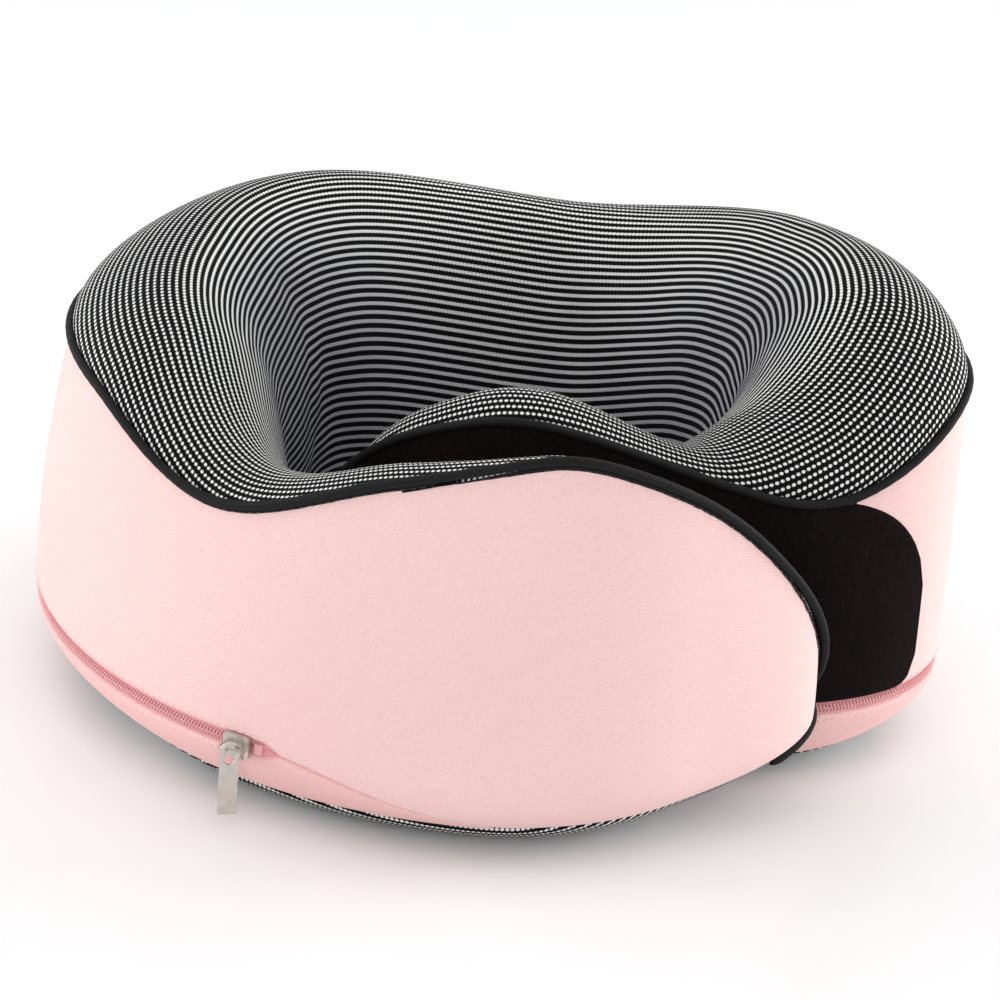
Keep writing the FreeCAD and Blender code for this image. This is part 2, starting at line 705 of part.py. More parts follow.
def make_pull_tab():
    """Flat pull tab that hangs on the bridge by its long eye."""
    body = doc.addObject("PartDesign::Body", "pull_tab")
    body.Label = "pull_tab"
    blade = add_sketch(body, "BladeOutline", "XZ_Plane", 0)
    blade.setExpression("AttachmentOffset.Base.z", "-Sizes.tab_thick / 2")
    add_arched_blade(blade, "Sizes.tab_long", "Sizes.tab_wide")
    add_pad(body, "Blade", blade, "Sizes.tab_thick")
    eye = add_sketch(body, "BladeEye", "XZ_Plane", 0)
    eye.setExpression("AttachmentOffset.Base.y", "Sizes.tab_long - Sizes.tab_rim - Sizes.tab_eye_long / 2")
    add_slot(eye, "Sizes.tab_eye_long", "Sizes.tab_eye_wide")
    pocket = add_pad(body, "BladeOpening", eye, "Sizes.tab_thick + 2", "PartDesign::Pocket")
    pocket.Midplane = True
    round_edges(body, "BladeRim", "rim_rounding", lambda edge: abs(edge.tangentAt(edge.FirstParameter).y) < 0.5)
    foot = -size("tab_long") + size("tab_rim") + size("tab_drop") + size("bridge_tall") / 2
    hang = Placement(Vector(0, bar_reach(), foot), Rotation(Vector(0, 0, 1), size("tab_turn")))
    body.Placement = track_placement("left", size("zip_start")).multiply(hang)
    NODES.append(body)


def make_stopper(name, side, angle):
    """Metal stopper in the zipper opening, in line with the coil."""
    box = doc.addObject("Part::Box", name)
    box.Label = name
    box.setExpression("Length", "Sizes.stopper_long")
    box.setExpression("Width", "Sizes.stopper_thick")
    box.setExpression("Height", "Sizes.zip_opening - 2 * (Sizes.slider_play + Sizes.stopper_room)")
    seat = track_placement(side, angle, size("coil_depth") + size("stopper_thick") / 2 - size("stopper_sink"))
    height = size("zip_opening") - 2 * (size("slider_play") + size("stopper_room"))
    box.Placement = seat.multiply(Placement(Vector(-size("stopper_long") / 2, 0, -height / 2), Rotation()))
    NODES.append(box)


# ------------------------------------------------------------------ whole pillow
make_back()
make_left_arm()
make_right_arm()
make_slider()
make_pull_tab()
half_step = degrees((size("slider_long") / 2 + size("stopper_long") / 2 + size("stopper_space")) / HALF_WIDE)
make_stopper("zipper_stop_left", "left", size("zip_start") + half_step)
make_stopper("zipper_stop_right", "right", size("zip_stop") + 1.2)
doc.recompute()

for item in doc.Objects:
    if "Invalid" in item.State or "Error" in item.State:
        raise RuntimeError(f"{item.Name} failed: {item.State}")
for node in NODES:
    if node.Shape.isNull() or not node.Shape.isValid():
        raise RuntimeError(f"{node.Label} is not a valid shape")

# The pillow stands on its lowest skin and is centred on its outline in plan.
whole = Part.makeCompound([node.Shape for node in NODES]).optimalBoundingBox(True, False)
shift = Vector(-(whole.XMin + whole.XMax) / 2, -(whole.YMin + whole.YMax) / 2, -whole.ZMin)
for node in NODES:
    node.Placement = Placement(shift, Rotation()).multiply(node.Placement)
doc.recompute()

os.makedirs("parts", exist_ok=True)
for node in NODES:
    node.Shape.exportStep(f"parts/{node.Label}.step")
    print(f"{node.Label}: {node.Shape.Volume:.0f} mm3, {len(node.Shape.Solids)} solid")
print(f"whole: {whole.XLength:.1f} x {whole.YLength:.1f} x {whole.ZLength:.1f}, shift {shift}")
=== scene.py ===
"""U-shaped travel neck pillow, closed into a ring with its left arm lapped over its right arm.

Metres, +Z up, front towards -Y, the same places as the CAD.  The cover is worked out in millimetres
from upright sections round an oval ring, one section per ring angle, counted from the middle of the
back.  Each half of the ring, left and right, is one run of cover from the middle of the back to its arm's tip.
"""
import bmesh
import bpy
import numpy as np
from math import cos, radians, sin
from mathutils import Matrix, Vector


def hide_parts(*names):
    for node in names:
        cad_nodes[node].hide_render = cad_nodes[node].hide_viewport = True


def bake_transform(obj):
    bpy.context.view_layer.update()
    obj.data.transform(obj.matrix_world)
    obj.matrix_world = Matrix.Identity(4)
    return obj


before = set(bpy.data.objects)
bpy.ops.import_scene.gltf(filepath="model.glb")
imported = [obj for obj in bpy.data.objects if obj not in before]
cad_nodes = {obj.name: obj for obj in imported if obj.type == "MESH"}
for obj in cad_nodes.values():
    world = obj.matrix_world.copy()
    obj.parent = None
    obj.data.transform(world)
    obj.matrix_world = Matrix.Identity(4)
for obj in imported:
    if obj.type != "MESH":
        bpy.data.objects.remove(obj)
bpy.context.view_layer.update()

# ------------------------------------------------------------------ sizes of the pillow, in mm and degrees
MM = 0.001
HALF_WIDE, HALF_DEEP = 148.0, 127.0
CENTRE_SHIFT = np.array([0.3445, 0.0518, 0.9017])
LAP_GAP = 3.8                       # left arm's inside to the right arm's outside
EDGE_CURL = 12.0                    # outer face curls in this far under the zipper
ZIP_LEVEL = 27.0
TIP = {"left": 241.0, "right": 213.0}
TIP_LEVEL = {"left": 36.0, "right": 50.0}
FULL_LAYERS = 28.0                  # thinner than this, an arm's seams and hems thin out with it
ZIP_PARK, ZIP_STOP = 158.5, 118.0   # ring angles of the parked slider and of the right-hand stop
ZIP_END = 162.0
SEAM_FOOT = 190.0                   # the seam past the slider reaches the lower edge here
BAND_END = 184.0
PATCH_START = 98.0                  # free edge of the loop patch
HOOK_FROM, HOOK_UPTO = 166.0, 222.0
HOLLOW_SEAM = 0.74                  # share of the inner outline where top and bottom panel meet
CORD_RADIUS, CORD_STAND = 1.4, 0.8
TIP_STAND, TIP_REACH = 0.5, 3.0     # how much further the piping stands proud round a tip, and reaches past it
ZIP_OPENING = 4.8
DOT_PITCH, ROW_PITCH = 1.55, 2.35   # knit dots along and across the ring where the fabric is relaxed
OUTER_POINTS, INNER_POINTS = 90, 260
FINE = 1.0                          # degrees between sections of a piece
NEAR_TIP = 60.0                     # sections stand closer together over this many degrees before a tip
SWELL_CAP = 2.4                     # the stuffing moves no point of the cover further than this
SWELL_STEP, SWELL_OUTER, SWELL_INNER = 2.4, 24, 52
ZIP_SHARE = 0.2                     # share of the outer face, from its foot up, where the zipper holds the cloth
TAPE_WIDE, TAPE_DEPTH, TAPE_THICK = 8.0, 1.5, 0.5
TAPES_APART = 0.1                   # between the edges of the two tapes
COIL_DEPTH, COIL_SCALE = 0.9, 0.84
COIL_PITCH = 0.0012                 # metres, as the two stitches' are
LIP_STITCH, ZIP_STITCH = 0.0030, 0.0028
LIP_FROM, LIP_UPTO, LIP_SEWN = 0.5, 2.4, 1.9
ZIP_SEWN = 4.2                      # each row of stitches to the middle of the zipper
HOOK_SHARES = (0.34, 0.66)          # hook patch on the left arm's inner face
HOOK_STAND, HOOK_THICK = 1.4, 1.3
CORD_STEP = 0.0012

COLUMNS = ("angle", "piping", "crest", "thick", "lower", "lowest", "crest_share", "lean")
ROWS = {
    "left": np.array((
        (0, 100, 135, 68, 10, 0, 0.42, 5), (45, 108, 145, 78, 12, 6, 0.44, 7),
        (90, 116, 143, 84, 12, 9, 0.46, 10), (126, 116, 133, 74, 10, 4, 0.42, 7),
        (152, 101, 106.5, 60, 8, 0, 0.34, 5), (176, 122, 122.5, 52, 8, 0, 0.28, 5),
        (200, 135, 132, 48, 9, 1, 0.24, 5))),
    "right": np.array((
        (0, 100, 135, 68, 10, 0, 0.42, 5), (45, 114, 151, 78, 10, 4, 0.42, 4),
        (84, 124, 151, 82, 10, 4, 0.42, 3), (112, 98, 118, 72, 6, 1, 0.38, 5),
        (132, 103, 108, 60, 5, 0, 0.32, 5), (166, 122, 127, 50, 5, 0, 0.30, 5),
        (190, 119, 124, 46, 6, 1, 0.30, 5))),
}


# ------------------------------------------------------------------ section outlines
def cubic(first, last, slope, last_slope, span, share):
    """Cubic from first to last over a span, with its slope at both ends, at a share of the way."""
    return (first * (1 + 2 * share) * (1 - share) ** 2 + slope * span * share * (1 - share) ** 2
            + last * share ** 2 * (3 - 2 * share) + last_slope * span * share ** 2 * (share - 1))


def between(side, column, angles):
    """Smooth value of a column at ring angles, level at the first and the last row."""
    at, values = ROWS[side][:, 0], ROWS[side][:, COLUMNS.index(column)]
    slopes = np.zeros(len(at))
    slopes[1:-1] = (values[2:] - values[:-2]) / (at[2:] - at[:-2])
    angles = np.clip(angles, at[0], at[-1])
    here = np.clip(np.searchsorted(at, angles, side="right") - 1, 0, len(at) - 2)
    span = at[here + 1] - at[here]
    share = (angles - at[here]) / span
    return cubic(values[here], values[here + 1], slopes[here], slopes[here + 1], span, share)


def ease(value, start, end):
    """0 before start, 1 after end, smooth in between."""
    share = np.clip((value - start) / (end - start), 0.0, 1.0)
    return share * share * (3 - 2 * share)


def dome(share, power=2.0):
    """Rounded rise from 0 at a tip to 1 where the arm has its full section."""
    return (1 - (1 - np.clip(share, 0.0, 1.0)) ** power) ** (1 / power)


def lap_depth(angles):
    """How far the right arm's outer face is set in, so that the left arm laps over it."""
    return (between("left", "thick", 360 - angles) + LAP_GAP) * ease(angles, 84, 146)


def end_slope(at, points):
    """Slope at the first point of the cubic through the first four."""
    first = [(points[:, k + 1] - points[:, k]) / (at[:, k + 1] - at[:, k])[:, None] for k in range(3)]
    second = [(first[k + 1] - first[k]) / (at[:, k + 2] - at[:, k])[:, None] for k in range(2)]
    third = (second[1] - second[0]) / (at[:, 3] - at[:, 0])[:, None]
    back = (at[:, 0] - at[:, 1])[:, None]
    return first[0] + second[0] * back + third * back * (at[:, 0] - at[:, 2])[:, None]


def smooth_line(points, count):
    """Smooth curves through points[row, place], sampled at count even steps of their parameter."""
    steps = np.sqrt(np.maximum(np.linalg.norm(np.diff(points, axis=1), axis=2), 0.01))
    at = np.concatenate([np.zeros((len(points), 1)), np.cumsum(steps, axis=1)], axis=1)
    gaps, places = np.diff(at, axis=1), points.shape[1]
    matrix, wanted = np.zeros((len(points), places, places)), np.zeros_like(points)
    matrix[:, 0, 0] = matrix[:, -1, -1] = 1
    wanted[:, 0] = end_slope(at, points)
    wanted[:, -1] = end_slope(at[:, ::-1], points[:, ::-1])
    for k in range(1, places - 1):
        before, after = gaps[:, k - 1], gaps[:, k]
        matrix[:, k, k - 1], matrix[:, k, k], matrix[:, k, k + 1] = after, 2 * (before + after), before
        wanted[:, k] = 3 * (after[:, None] * (points[:, k] - points[:, k - 1]) / before[:, None]
                            + before[:, None] * (points[:, k + 1] - points[:, k]) / after[:, None])
    slopes = np.linalg.solve(matrix, wanted)
    line = np.empty((len(points), count, 2))
    for row in range(len(points)):
        want = np.linspace(0, at[row, -1], count)
        here = np.clip(np.searchsorted(at[row], want, side="right") - 1, 0, places - 2)
        span = gaps[row, here][:, None]
        share = ((want - at[row, here]) / gaps[row, here])[:, None]
        line[row] = cubic(points[row, here], points[row, here + 1], slopes[row, here], slopes[row, here + 1],
                          span, share)
    return line


class Outline:
    """One line of every section, outer or inner, as (outward, up) points with their lengths along it."""

    def __init__(self, points, inward):
        self.points, self.inward = points, inward
        steps = np.linalg.norm(np.diff(points, axis=1), axis=2)
        self.length = np.concatenate([np.zeros((len(points), 1)), np.cumsum(steps, axis=1)], axis=1)
        self.whole = self.length[:, -1]

    def at(self, lengths):
        """Points at lengths[row, column], and the unit direction into the pillow there."""
        found, into = np.empty(lengths.shape + (2,)), np.empty(lengths.shape + (2,))
        for row in range(len(lengths)):
            for axis in (0, 1):
                found[row, :, axis] = np.interp(lengths[row], self.length[row], self.points[row, :, axis])
            along = np.gradient(self.points[row], axis=0)
            along /= np.maximum(np.linalg.norm(along, axis=1), 1e-9)[:, None]
            into[row, :, 0] = -self.inward * np.interp(lengths[row], self.length[row], along[:, 1])
            into[row, :, 1] = self.inward * np.interp(lengths[row], self.length[row], along[:, 0])
        return found, into / np.maximum(np.linalg.norm(into, axis=2), 1e-9)[..., None]


class Skin:
    """The pillow's surface at a run of ring angles of one side."""

    def __init__(self, side, angles):
        self.side, self.angles = side, np.asarray(angles, float)
        angles = self.angles
        turn, across = np.radians(angles), (1 if side == "right" else -1)
        self.base = np.stack([across * HALF_WIDE * np.sin(turn), HALF_DEEP * np.cos(turn)], axis=1)
        out = np.stack([across * np.sin(turn) / HALF_WIDE, np.cos(turn) / HALF_DEEP], axis=1)
        self.out = out / np.linalg.norm(out, axis=1)[:, None]
        left, tip = TIP[side] - angles, TIP_LEVEL[side]
        if side == "left":
            top_share, low_share, self.round = dome(left / 48, 1.55), dome(left / 50, 1.8), dome(left / 60)
        else:
            top_share, low_share, self.round = dome(left / 40), dome(left / 36), dome(left / 50)
        thick = between(side, "thick", angles) * self.round
        if side == "left":
            self.face = (LAP_GAP - lap_depth(360 - angles) + thick) * ease(angles, 170, 198)
        else:
            self.face = -lap_depth(angles)
        self.top = tip + (between(side, "piping", angles) - tip) * top_share
        crest = tip + (between(side, "crest", angles) - tip) * top_share
        self.low = tip - (tip - between(side, "lower", angles)) * low_share
        lowest = tip - (tip - between(side, "lowest", angles)) * low_share
        self.zip = tip - (tip - ZIP_LEVEL) * low_share
        self.lean, self.curl = between(side, "lean", angles) * self.round, EDGE_CURL * self.round
        self.scale = np.minimum(1.0, thick / FULL_LAYERS)
        self.outer = Outline(self.outer_points(np.linspace(0, 1, OUTER_POINTS)), -1)
        tall, share, edge = self.top - self.low, between(side, "crest_share", angles), self.face - self.lean
        foot = self.face - self.curl
        knots = [(edge, self.top),
                 (edge - 0.22 * share * thick, self.top + 0.55 * (crest - self.top)),
                 (edge - share * thick, crest),
                 (self.face - 0.80 * thick, crest - 0.16 * tall),
                 (self.face - 1.00 * thick, self.low + 0.52 * tall),
                 (self.face - 0.92 * thick, self.low + 0.14 * tall),
                 (self.face - 0.55 * thick, lowest),
                 (foot - 0.12 * thick, lowest + 0.25 * (self.low - lowest)),
                 (foot, self.low)]
        knots = np.stack([np.stack(knot, axis=1) for knot in knots], axis=1)
        self.inner = Outline(smooth_line(knots, INNER_POINTS), 1)
        reach = np.sqrt(np.maximum(np.linalg.norm(np.diff(knots, axis=1), axis=2), 0.01))
        crest_place = (reach[:, 0] + reach[:, 1]) / reach.sum(axis=1) * (INNER_POINTS - 1)
        self.crest_length = np.array([np.interp(place, np.arange(INNER_POINTS), row)
                                      for place, row in zip(crest_place, self.inner.length)])

    def outer_points(self, shares):
        """Outer face at shares of the way from the piping edge down to the lower edge."""
        level = self.top[:, None] + (self.low - self.top)[:, None] * shares
        zip_level, top, low = self.zip[:, None], self.top[:, None], self.low[:, None]
        over = ((level - zip_level) / np.maximum(top - zip_level, 1e-6)) ** 2
        under = ((zip_level - level) / np.maximum(zip_level - low, 1e-6)) ** 2
        set_in = np.where(level >= zip_level, self.lean[:, None] * over, self.curl[:, None] * under)
        reach = self.face[:, None] - set_in
        return np.stack([reach, level], axis=2)

    def line(self, name):
        return self.outer if name == "outer" else self.inner

    def length_at_level(self, level):
        """Length along the outer face, from the piping edge down to a height in each section."""
        shares = (level - self.top) / np.minimum(self.low - self.top, -1e-6)
        return np.array([np.interp(share, np.linspace(0, 1, OUTER_POINTS), row)
                         for share, row in zip(shares, self.outer.length)])

    def place(self, flat):
        """Points of the sections, (outward, up) in mm, put in their places on the ring, in metres."""
        plan = self.base[:, None, :] + self.out[:, None, :] * flat[..., :1]
        return (np.concatenate([plan, flat[..., 1:]], axis=2) + CENTRE_SHIFT) * MM

    def edge(self, which):
        """Corner of the cover, the way the piping stands proud of it, and how open it is from 0 to 1."""
        end = 0 if which == "top" else -1
        down = self.outer.points[:, 1] - self.outer.points[:, 0] if end == 0 else \
            self.outer.points[:, -1] - self.outer.points[:, -2]
        over = self.inner.points[:, 1] - self.inner.points[:, 0] if end == 0 else \
            self.inner.points[:, -1] - self.inner.points[:, -2]
        down /= np.maximum(np.linalg.norm(down, axis=1), 1e-9)[:, None]
        over /= np.maximum(np.linalg.norm(over, axis=1), 1e-9)[:, None]
        away = np.stack([over[:, 1] - down[:, 1], down[:, 0] - over[:, 0]], axis=1)
        away /= np.maximum(np.linalg.norm(away, axis=1), 1e-9)[:, None]
        return self.outer.points[:, end], away, np.clip(1 - (down * over).sum(axis=1), 0.1, 1.0)


def ring_angles(side, step, start=0.0, end=None):
    """Ring angles from start to end, about step apart and closer together round a tip."""
    tip = TIP[side]
    if end is not None:
        return np.linspace(start, end, max(3, int(round((end - start) / step)) + 1))
    plain = np.linspace(start, tip - NEAR_TIP, int(round((tip - NEAR_TIP - start) / step)) + 1)
    count = int(round(110 / step))
    round_tip = tip - NEAR_TIP * (1 - np.linspace(0, 1, count)) ** 2
    round_tip[-1] = tip - 0.01
    return np.concatenate([plain, round_tip[1:]])


# ------------------------------------------------------------------ swelling of the stuffed cover
SWELL = {}


def stuffed_ring():
    """The whole stuffed ring as one closed form: rows round the ring, columns round the section."""
    left = ring_angles("left", SWELL_STEP)[::-1]
    right = ring_angles("right", SWELL_STEP)[1:]
    rows = []
    for side, angles in (("left", left), ("right", right)):
        skin = Skin(side, angles)
        outer, _ = skin.outer.at(skin.outer.whole[:, None] * np.linspace(1, 0, SWELL_OUTER))
        inner, _ = skin.inner.at(skin.inner.whole[:, None] * np.linspace(0, 1, SWELL_INNER)[1:-1])
        rows.append(skin.place(np.concatenate([outer, inner], axis=1)))
    return np.concatenate(rows), np.concatenate([-left, right])


def swell_cover():
    """Blows the closed ring up as cloth held along its seams, and keeps how far each point moved."""
    points, ring = stuffed_ring()
    rows, columns = points.shape[:2]
    moved = np.zeros_like(points)
    corner = np.arange(rows * columns).reshape(rows, columns)
    across = np.roll(corner, -1, axis=1)
    faces = np.stack([corner[:-1], across[:-1], across[1:], corner[1:]], axis=2).reshape(-1, 4)
    mesh = bpy.data.meshes.new("stuffed_ring")
    mesh.from_pydata(points.reshape(-1, 3).tolist(), [], faces.tolist())
    ring_object = bpy.data.objects.new("stuffed_ring", mesh)
    bpy.context.scene.collection.objects.link(ring_object)
    build = bmesh.new()
    build.from_mesh(mesh)
    bmesh.ops.recalc_face_normals(build, faces=build.faces)
    build.to_mesh(mesh)
    build.free()
    sewn = ring_object.vertex_groups.new(name="sewn")
    zip_column = int(round((SWELL_OUTER - 1) * ZIP_SHARE))
    held = np.zeros((rows, columns), bool)
    held[:, [0, zip_column, SWELL_OUTER - 1]] = True
    held[:3] = held[-3:] = True
    sewn.add(np.flatnonzero(held.ravel()).tolist(), 1.0, "REPLACE")
    cloth = ring_object.modifiers.new("stuffing", "CLOTH")
    cloth.settings.vertex_group_mass = "sewn"
    cloth.settings.quality = 5
    cloth.settings.mass = 0.3
    cloth.settings.tension_stiffness = cloth.settings.compression_stiffness = 15
    cloth.settings.bending_stiffness = 0.5
    cloth.settings.use_pressure = True
    cloth.settings.uniform_pressure_force = 4
    cloth.settings.effector_weights.gravity = 0
    cloth.collision_settings.use_collision = False
    cloth.collision_settings.use_self_collision = False
    scene = bpy.context.scene
    for number in range(1, 21):
        scene.frame_set(number)
    blown = ring_object.evaluated_get(bpy.context.evaluated_depsgraph_get()).data
    found = np.empty(len(blown.vertices) * 3)
    blown.vertices.foreach_get("co", found)
    moved = found.reshape(points.shape) - points
    scene.frame_set(1)
    bpy.data.objects.remove(ring_object)
    bpy.data.meshes.remove(mesh)
    # the foam inside holds the cover: no point moves more than the cap, and less where the arms lap
    far = np.linalg.norm(moved, axis=2, keepdims=True)
    cap = np.full(far.shape, SWELL_CAP * MM)
    lap = np.where(ring < 0, ease(-ring, 150, 185), ease(ring, 125, 150))
    cap *= (1 - 0.75 * lap)[:, None, None]
    moved = moved * cap * np.tanh(far / cap) / np.maximum(far, 1e-9)
    for _ in range(2):
        moved[1:-1] = (moved[:-2] + 2 * moved[1:-1] + moved[2:]) / 4
    SWELL.update(ring=ring, moved=moved, columns=columns)


def swelling(side, angles, line, shares):
    """How far the stuffing moved the skin at ring angles and shares[row, column] of a line."""
    ring = -angles if side == "left" else angles
    row = np.interp(ring, SWELL["ring"], np.arange(len(SWELL["ring"])))
    last = SWELL_OUTER - 1
    column = last * (1 - shares) if line == "outer" else last + shares * (SWELL["columns"] - last)
    row = np.broadcast_to(row[:, None], column.shape)
    row0 = np.minimum(row.astype(int), len(SWELL["ring"]) - 2)
    column0 = column.astype(int)
    part, across = (row - row0)[..., None], (column - column0)[..., None]
    across = across * across * (3 - 2 * across)
    moved, columns = SWELL["moved"], SWELL["columns"]
    near = moved[row0, column0 % columns] * (1 - across) + moved[row0, (column0 + 1) % columns] * across
    far = moved[row0 + 1, column0 % columns] * (1 - across) + moved[row0 + 1, (column0 + 1) % columns] * across
    return near * (1 - part) + far * part


# ------------------------------------------------------------------ meshes
def link_mesh(name, points, faces, uv, finish):
    """Mesh object from points and faces, with one UV pair per point."""
    mesh = bpy.data.meshes.new(name)
    mesh.from_pydata(points.tolist(), [], faces)
    corners = np.empty(len(mesh.loops), int)
    mesh.loops.foreach_get("vertex_index", corners)
    weave = mesh.uv_layers.new(name="weave")
    weave.data.foreach_set("uv", uv[corners].astype(np.float32).ravel())
    mesh.materials.append(finish)
    mesh.shade_smooth()
    piece = bpy.data.objects.new(name, mesh)
    bpy.context.scene.collection.objects.link(piece)
    return piece


def grid_faces(rows, columns, closed, flip):
    """Quads over a grid of points; closed joins the last column to the first."""
    corner = np.arange(rows * columns).reshape(rows, columns)
    nxt = np.roll(corner, -1, axis=1)
    keep = slice(None) if closed else slice(0, columns - 1)
    quads = np.stack([corner[:-1, keep], corner[1:, keep], nxt[1:, keep], nxt[:-1, keep]], axis=2).reshape(-1, 4)
    return (quads[:, ::-1] if flip else quads).tolist()


def clean(piece, outward=False):
    """Merge points that lie together at a tip, and turn a closed skin's faces outwards."""
    build = bmesh.new()
    build.from_mesh(piece.data)
    bmesh.ops.remove_doubles(build, verts=build.verts, dist=0.00001)
    if outward:
        bmesh.ops.recalc_face_normals(build, faces=build.faces)
    build.to_mesh(piece.data)
    build.free()
    return piece


HEM_PLACES = np.array([0.0, 0.0, 0.12, 0.3, 0.58, 1.0])
HEM_DEPTHS = np.array([3.0, 1.5, 0.85, 0.4, 0.1, 0.0])


def hemmed_lengths(start, end, columns, hem=2.8):
    """Lengths and depths across a panel whose two edges turn in under it."""
    wide = end - start
    hem = np.minimum(hem, 0.22 * wide)[:, None]
    middle = np.linspace(0, 1, columns)[1:-1]
    first = start[:, None] + hem * HEM_PLACES
    last = end[:, None] - hem * HEM_PLACES[::-1]
    inside = (start[:, None] + hem) + (wide[:, None] - 2 * hem) * middle
    depths = np.concatenate([HEM_DEPTHS, np.zeros(columns - 2), HEM_DEPTHS[::-1]])
    return np.concatenate([first, inside, last], axis=1), np.tile(depths, (len(start), 1))


def run_along(path):
    """Length from a path's start to each of its points."""
    return np.concatenate([[0.0], np.cumsum(np.linalg.norm(np.diff(path, axis=0), axis=1))])


def ring_run(skin):
    """Millimetres round the ring, along the crest, of each section."""
    crest = skin.place(skin.inner.at(skin.crest_length[:, None])[0])[:, 0] / MM
    return run_along(crest) * (-1 if skin.side == "left" else 1)


def row_count(lengths):
    """Knit rows counted from the crest; the rows stand wider apart where the hollow squeezes the fabric."""
    at = np.arange(-120.0, 260.0, 0.5)
    pitch = ROW_PITCH + 0.75 * ease(at, 8, 70) - 0.6 * ease(at, 110, 150)
    rows = np.cumsum(0.5 / pitch)
    return np.interp(lengths, at, rows - np.interp(0.0, at, rows))


def cover_panel(name, side, angles, line, start, end, columns, finish, dotted=False, stand=0.0, pucker=0.0):
    """Sewn panel on the skin between two lengths along a line, its long edges turned in."""
    skin = Skin(side, angles)
    outline = skin.line(line)
    lengths, depths = hemmed_lengths(start(skin), end(skin), columns)
    flat, into = outline.at(lengths)
    # a hem stays shallow where the cover comes to a narrow corner
    depths[:, :len(HEM_DEPTHS)] *= skin.edge("top")[2][:, None]
    depths[:, -len(HEM_DEPTHS):] *= skin.edge("low")[2][:, None]
    depth = depths * skin.scale[:, None] - stand
    run = ring_run(skin) if dotted else np.abs(ring_run(skin))
    if pucker:
        # the piping seam gathers the jersey into small ripples that die out within a centimetre
        fade = np.exp(-np.maximum(lengths - lengths[:, :1], 0) / 4.5) * skin.scale[:, None]
        ripple = np.sin(run * 0.83 + 1.3 * np.sin(run * 0.31)) + 0.6 * np.sin(run * 1.37 + 0.7)
        depth = depth + pucker * fade * ripple[:, None]
    points = skin.place(flat + into * depth[..., None])
    points = points + swelling(side, skin.angles, line, lengths / np.maximum(outline.whole, 1e-6)[:, None])
    if skin.angles[-1] > TIP[side] - 0.1:
        points[-1] = points[-1].mean(axis=0)
    weave = (run[:, None], -lengths)
    if dotted:
        weave = ((run / DOT_PITCH)[:, None], row_count(lengths - skin.crest_length[:, None]))
    uv = np.stack(np.broadcast_arrays(*weave), axis=2)
    rows, across = points.shape[:2]
    flip = (side == "left") == (line == "outer")
    piece = link_mesh(name, points.reshape(-1, 3), grid_faces(rows, across, False, flip), uv.reshape(-1, 2), finish)
    if dotted:
        relaxed = np.gradient(run)[:, None] * np.ones(across)
        real = np.linalg.norm(np.gradient(points / MM, axis=0), axis=2)
        crowd = piece.data.attributes.new("crowding", "FLOAT", "POINT")
        crowd.data.foreach_set("value", np.clip(real / np.abs(relaxed), 0.3, 1.6).astype(np.float32).ravel())
    return clean(piece)


def flat_strip(name, side, angles, line, start, end, depth, thick, columns, finish, rounded=False):
    """Closed flat strip on or under the skin: a tape, a patch or the piping's lip."""
    skin = Skin(side, angles)
    shares = np.linspace(0, 1, columns)
    near_to = start(skin)[:, None] + (end(skin) - start(skin))[:, None] * shares
    lengths = np.concatenate([near_to, near_to[:, ::-1]], axis=1)
    front = np.full(columns, depth)
    if rounded:
        front = depth + thick * 0.5 * (1 - np.sqrt(np.maximum(1 - (2 * shares - 1) ** 2, 0)))
    depths = np.concatenate([front, np.full(columns, depth + thick)]) * skin.scale[:, None]
    outline = skin.line(line)
    flat, into = outline.at(lengths)
    points = skin.place(flat + into * depths[..., None])
    points = points + swelling(side, skin.angles, line, lengths / np.maximum(outline.whole, 1e-6)[:, None])
    run = np.abs(ring_run(skin))
    uv = np.stack(np.broadcast_arrays(run[:, None], -lengths), axis=2)
    rows, across = points.shape[:2]
    last = (rows - 1) * across
    caps = [list(range(across))[::-1], list(range(last, last + across))]
    faces = grid_faces(rows, across, True, False) + caps
    return clean(link_mesh(name, points.reshape(-1, 3), faces, uv.reshape(-1, 2), finish), outward=True)


def cord_tube(name, path, away, radius, finish, sides=14):
    """Round cord along a path, with the shallow ripples of a fabric-covered cord and a closed, narrow end."""
    along = np.gradient(path, axis=0)
    along /= np.maximum(np.linalg.norm(along, axis=1), 1e-12)[:, None]
    up = away - (away * along).sum(axis=1)[:, None] * along
    up /= np.linalg.norm(up, axis=1)[:, None]
    aside = np.cross(along, up)
    run = run_along(path) / MM
    turn = np.linspace(0, 2 * np.pi, sides, endpoint=False)
    radii = radius * (1 + 0.025 * np.sin(run * 1.1 + 0.8 * np.sin(run * 0.27)))
    radii[-3:] *= np.array([0.94, 0.75, 0.3])
    ring = up[:, None] * np.cos(turn)[:, None] + aside[:, None] * np.sin(turn)[:, None]
    points = path[:, None] + ring * radii[:, None, None] * MM
    uv = np.stack(np.broadcast_arrays(run[:, None], turn * radius), axis=2)
    faces = grid_faces(len(path), sides, True, False)
    piece = link_mesh(name, points.reshape(-1, 3), faces, uv.reshape(-1, 2), finish)
    return clean(piece, outward=True)


# ------------------------------------------------------------------ materials
RGBA = {"out": 2, "data_type": "RGBA"}


def linear(code):
    """Linear colour of an sRGB hex code."""
    parts = [int(code[k:k + 2], 16) / 255 for k in (1, 3, 5)]
    return tuple(c / 12.92 if c <= 0.04045 else ((c + 0.055) / 1.055) ** 2.4 for c in parts) + (1.0,)


def add_node(tree, kind, inputs=None, out=0, into=None, **settings):
    """Adds one node with its settings and links, and gives back one of its outputs."""
    made = tree.nodes.new(kind)
    for name, value in settings.items():
        setattr(made, name, value)
    for socket, value in (inputs or {}).items():
        if isinstance(value, bpy.types.NodeSocket):
            tree.links.new(value, made.inputs[socket])
        else:
            made.inputs[socket].default_value = value
    if into:
        tree.links.new(made.outputs[out], into)
    return made.outputs[out] if made.outputs else made


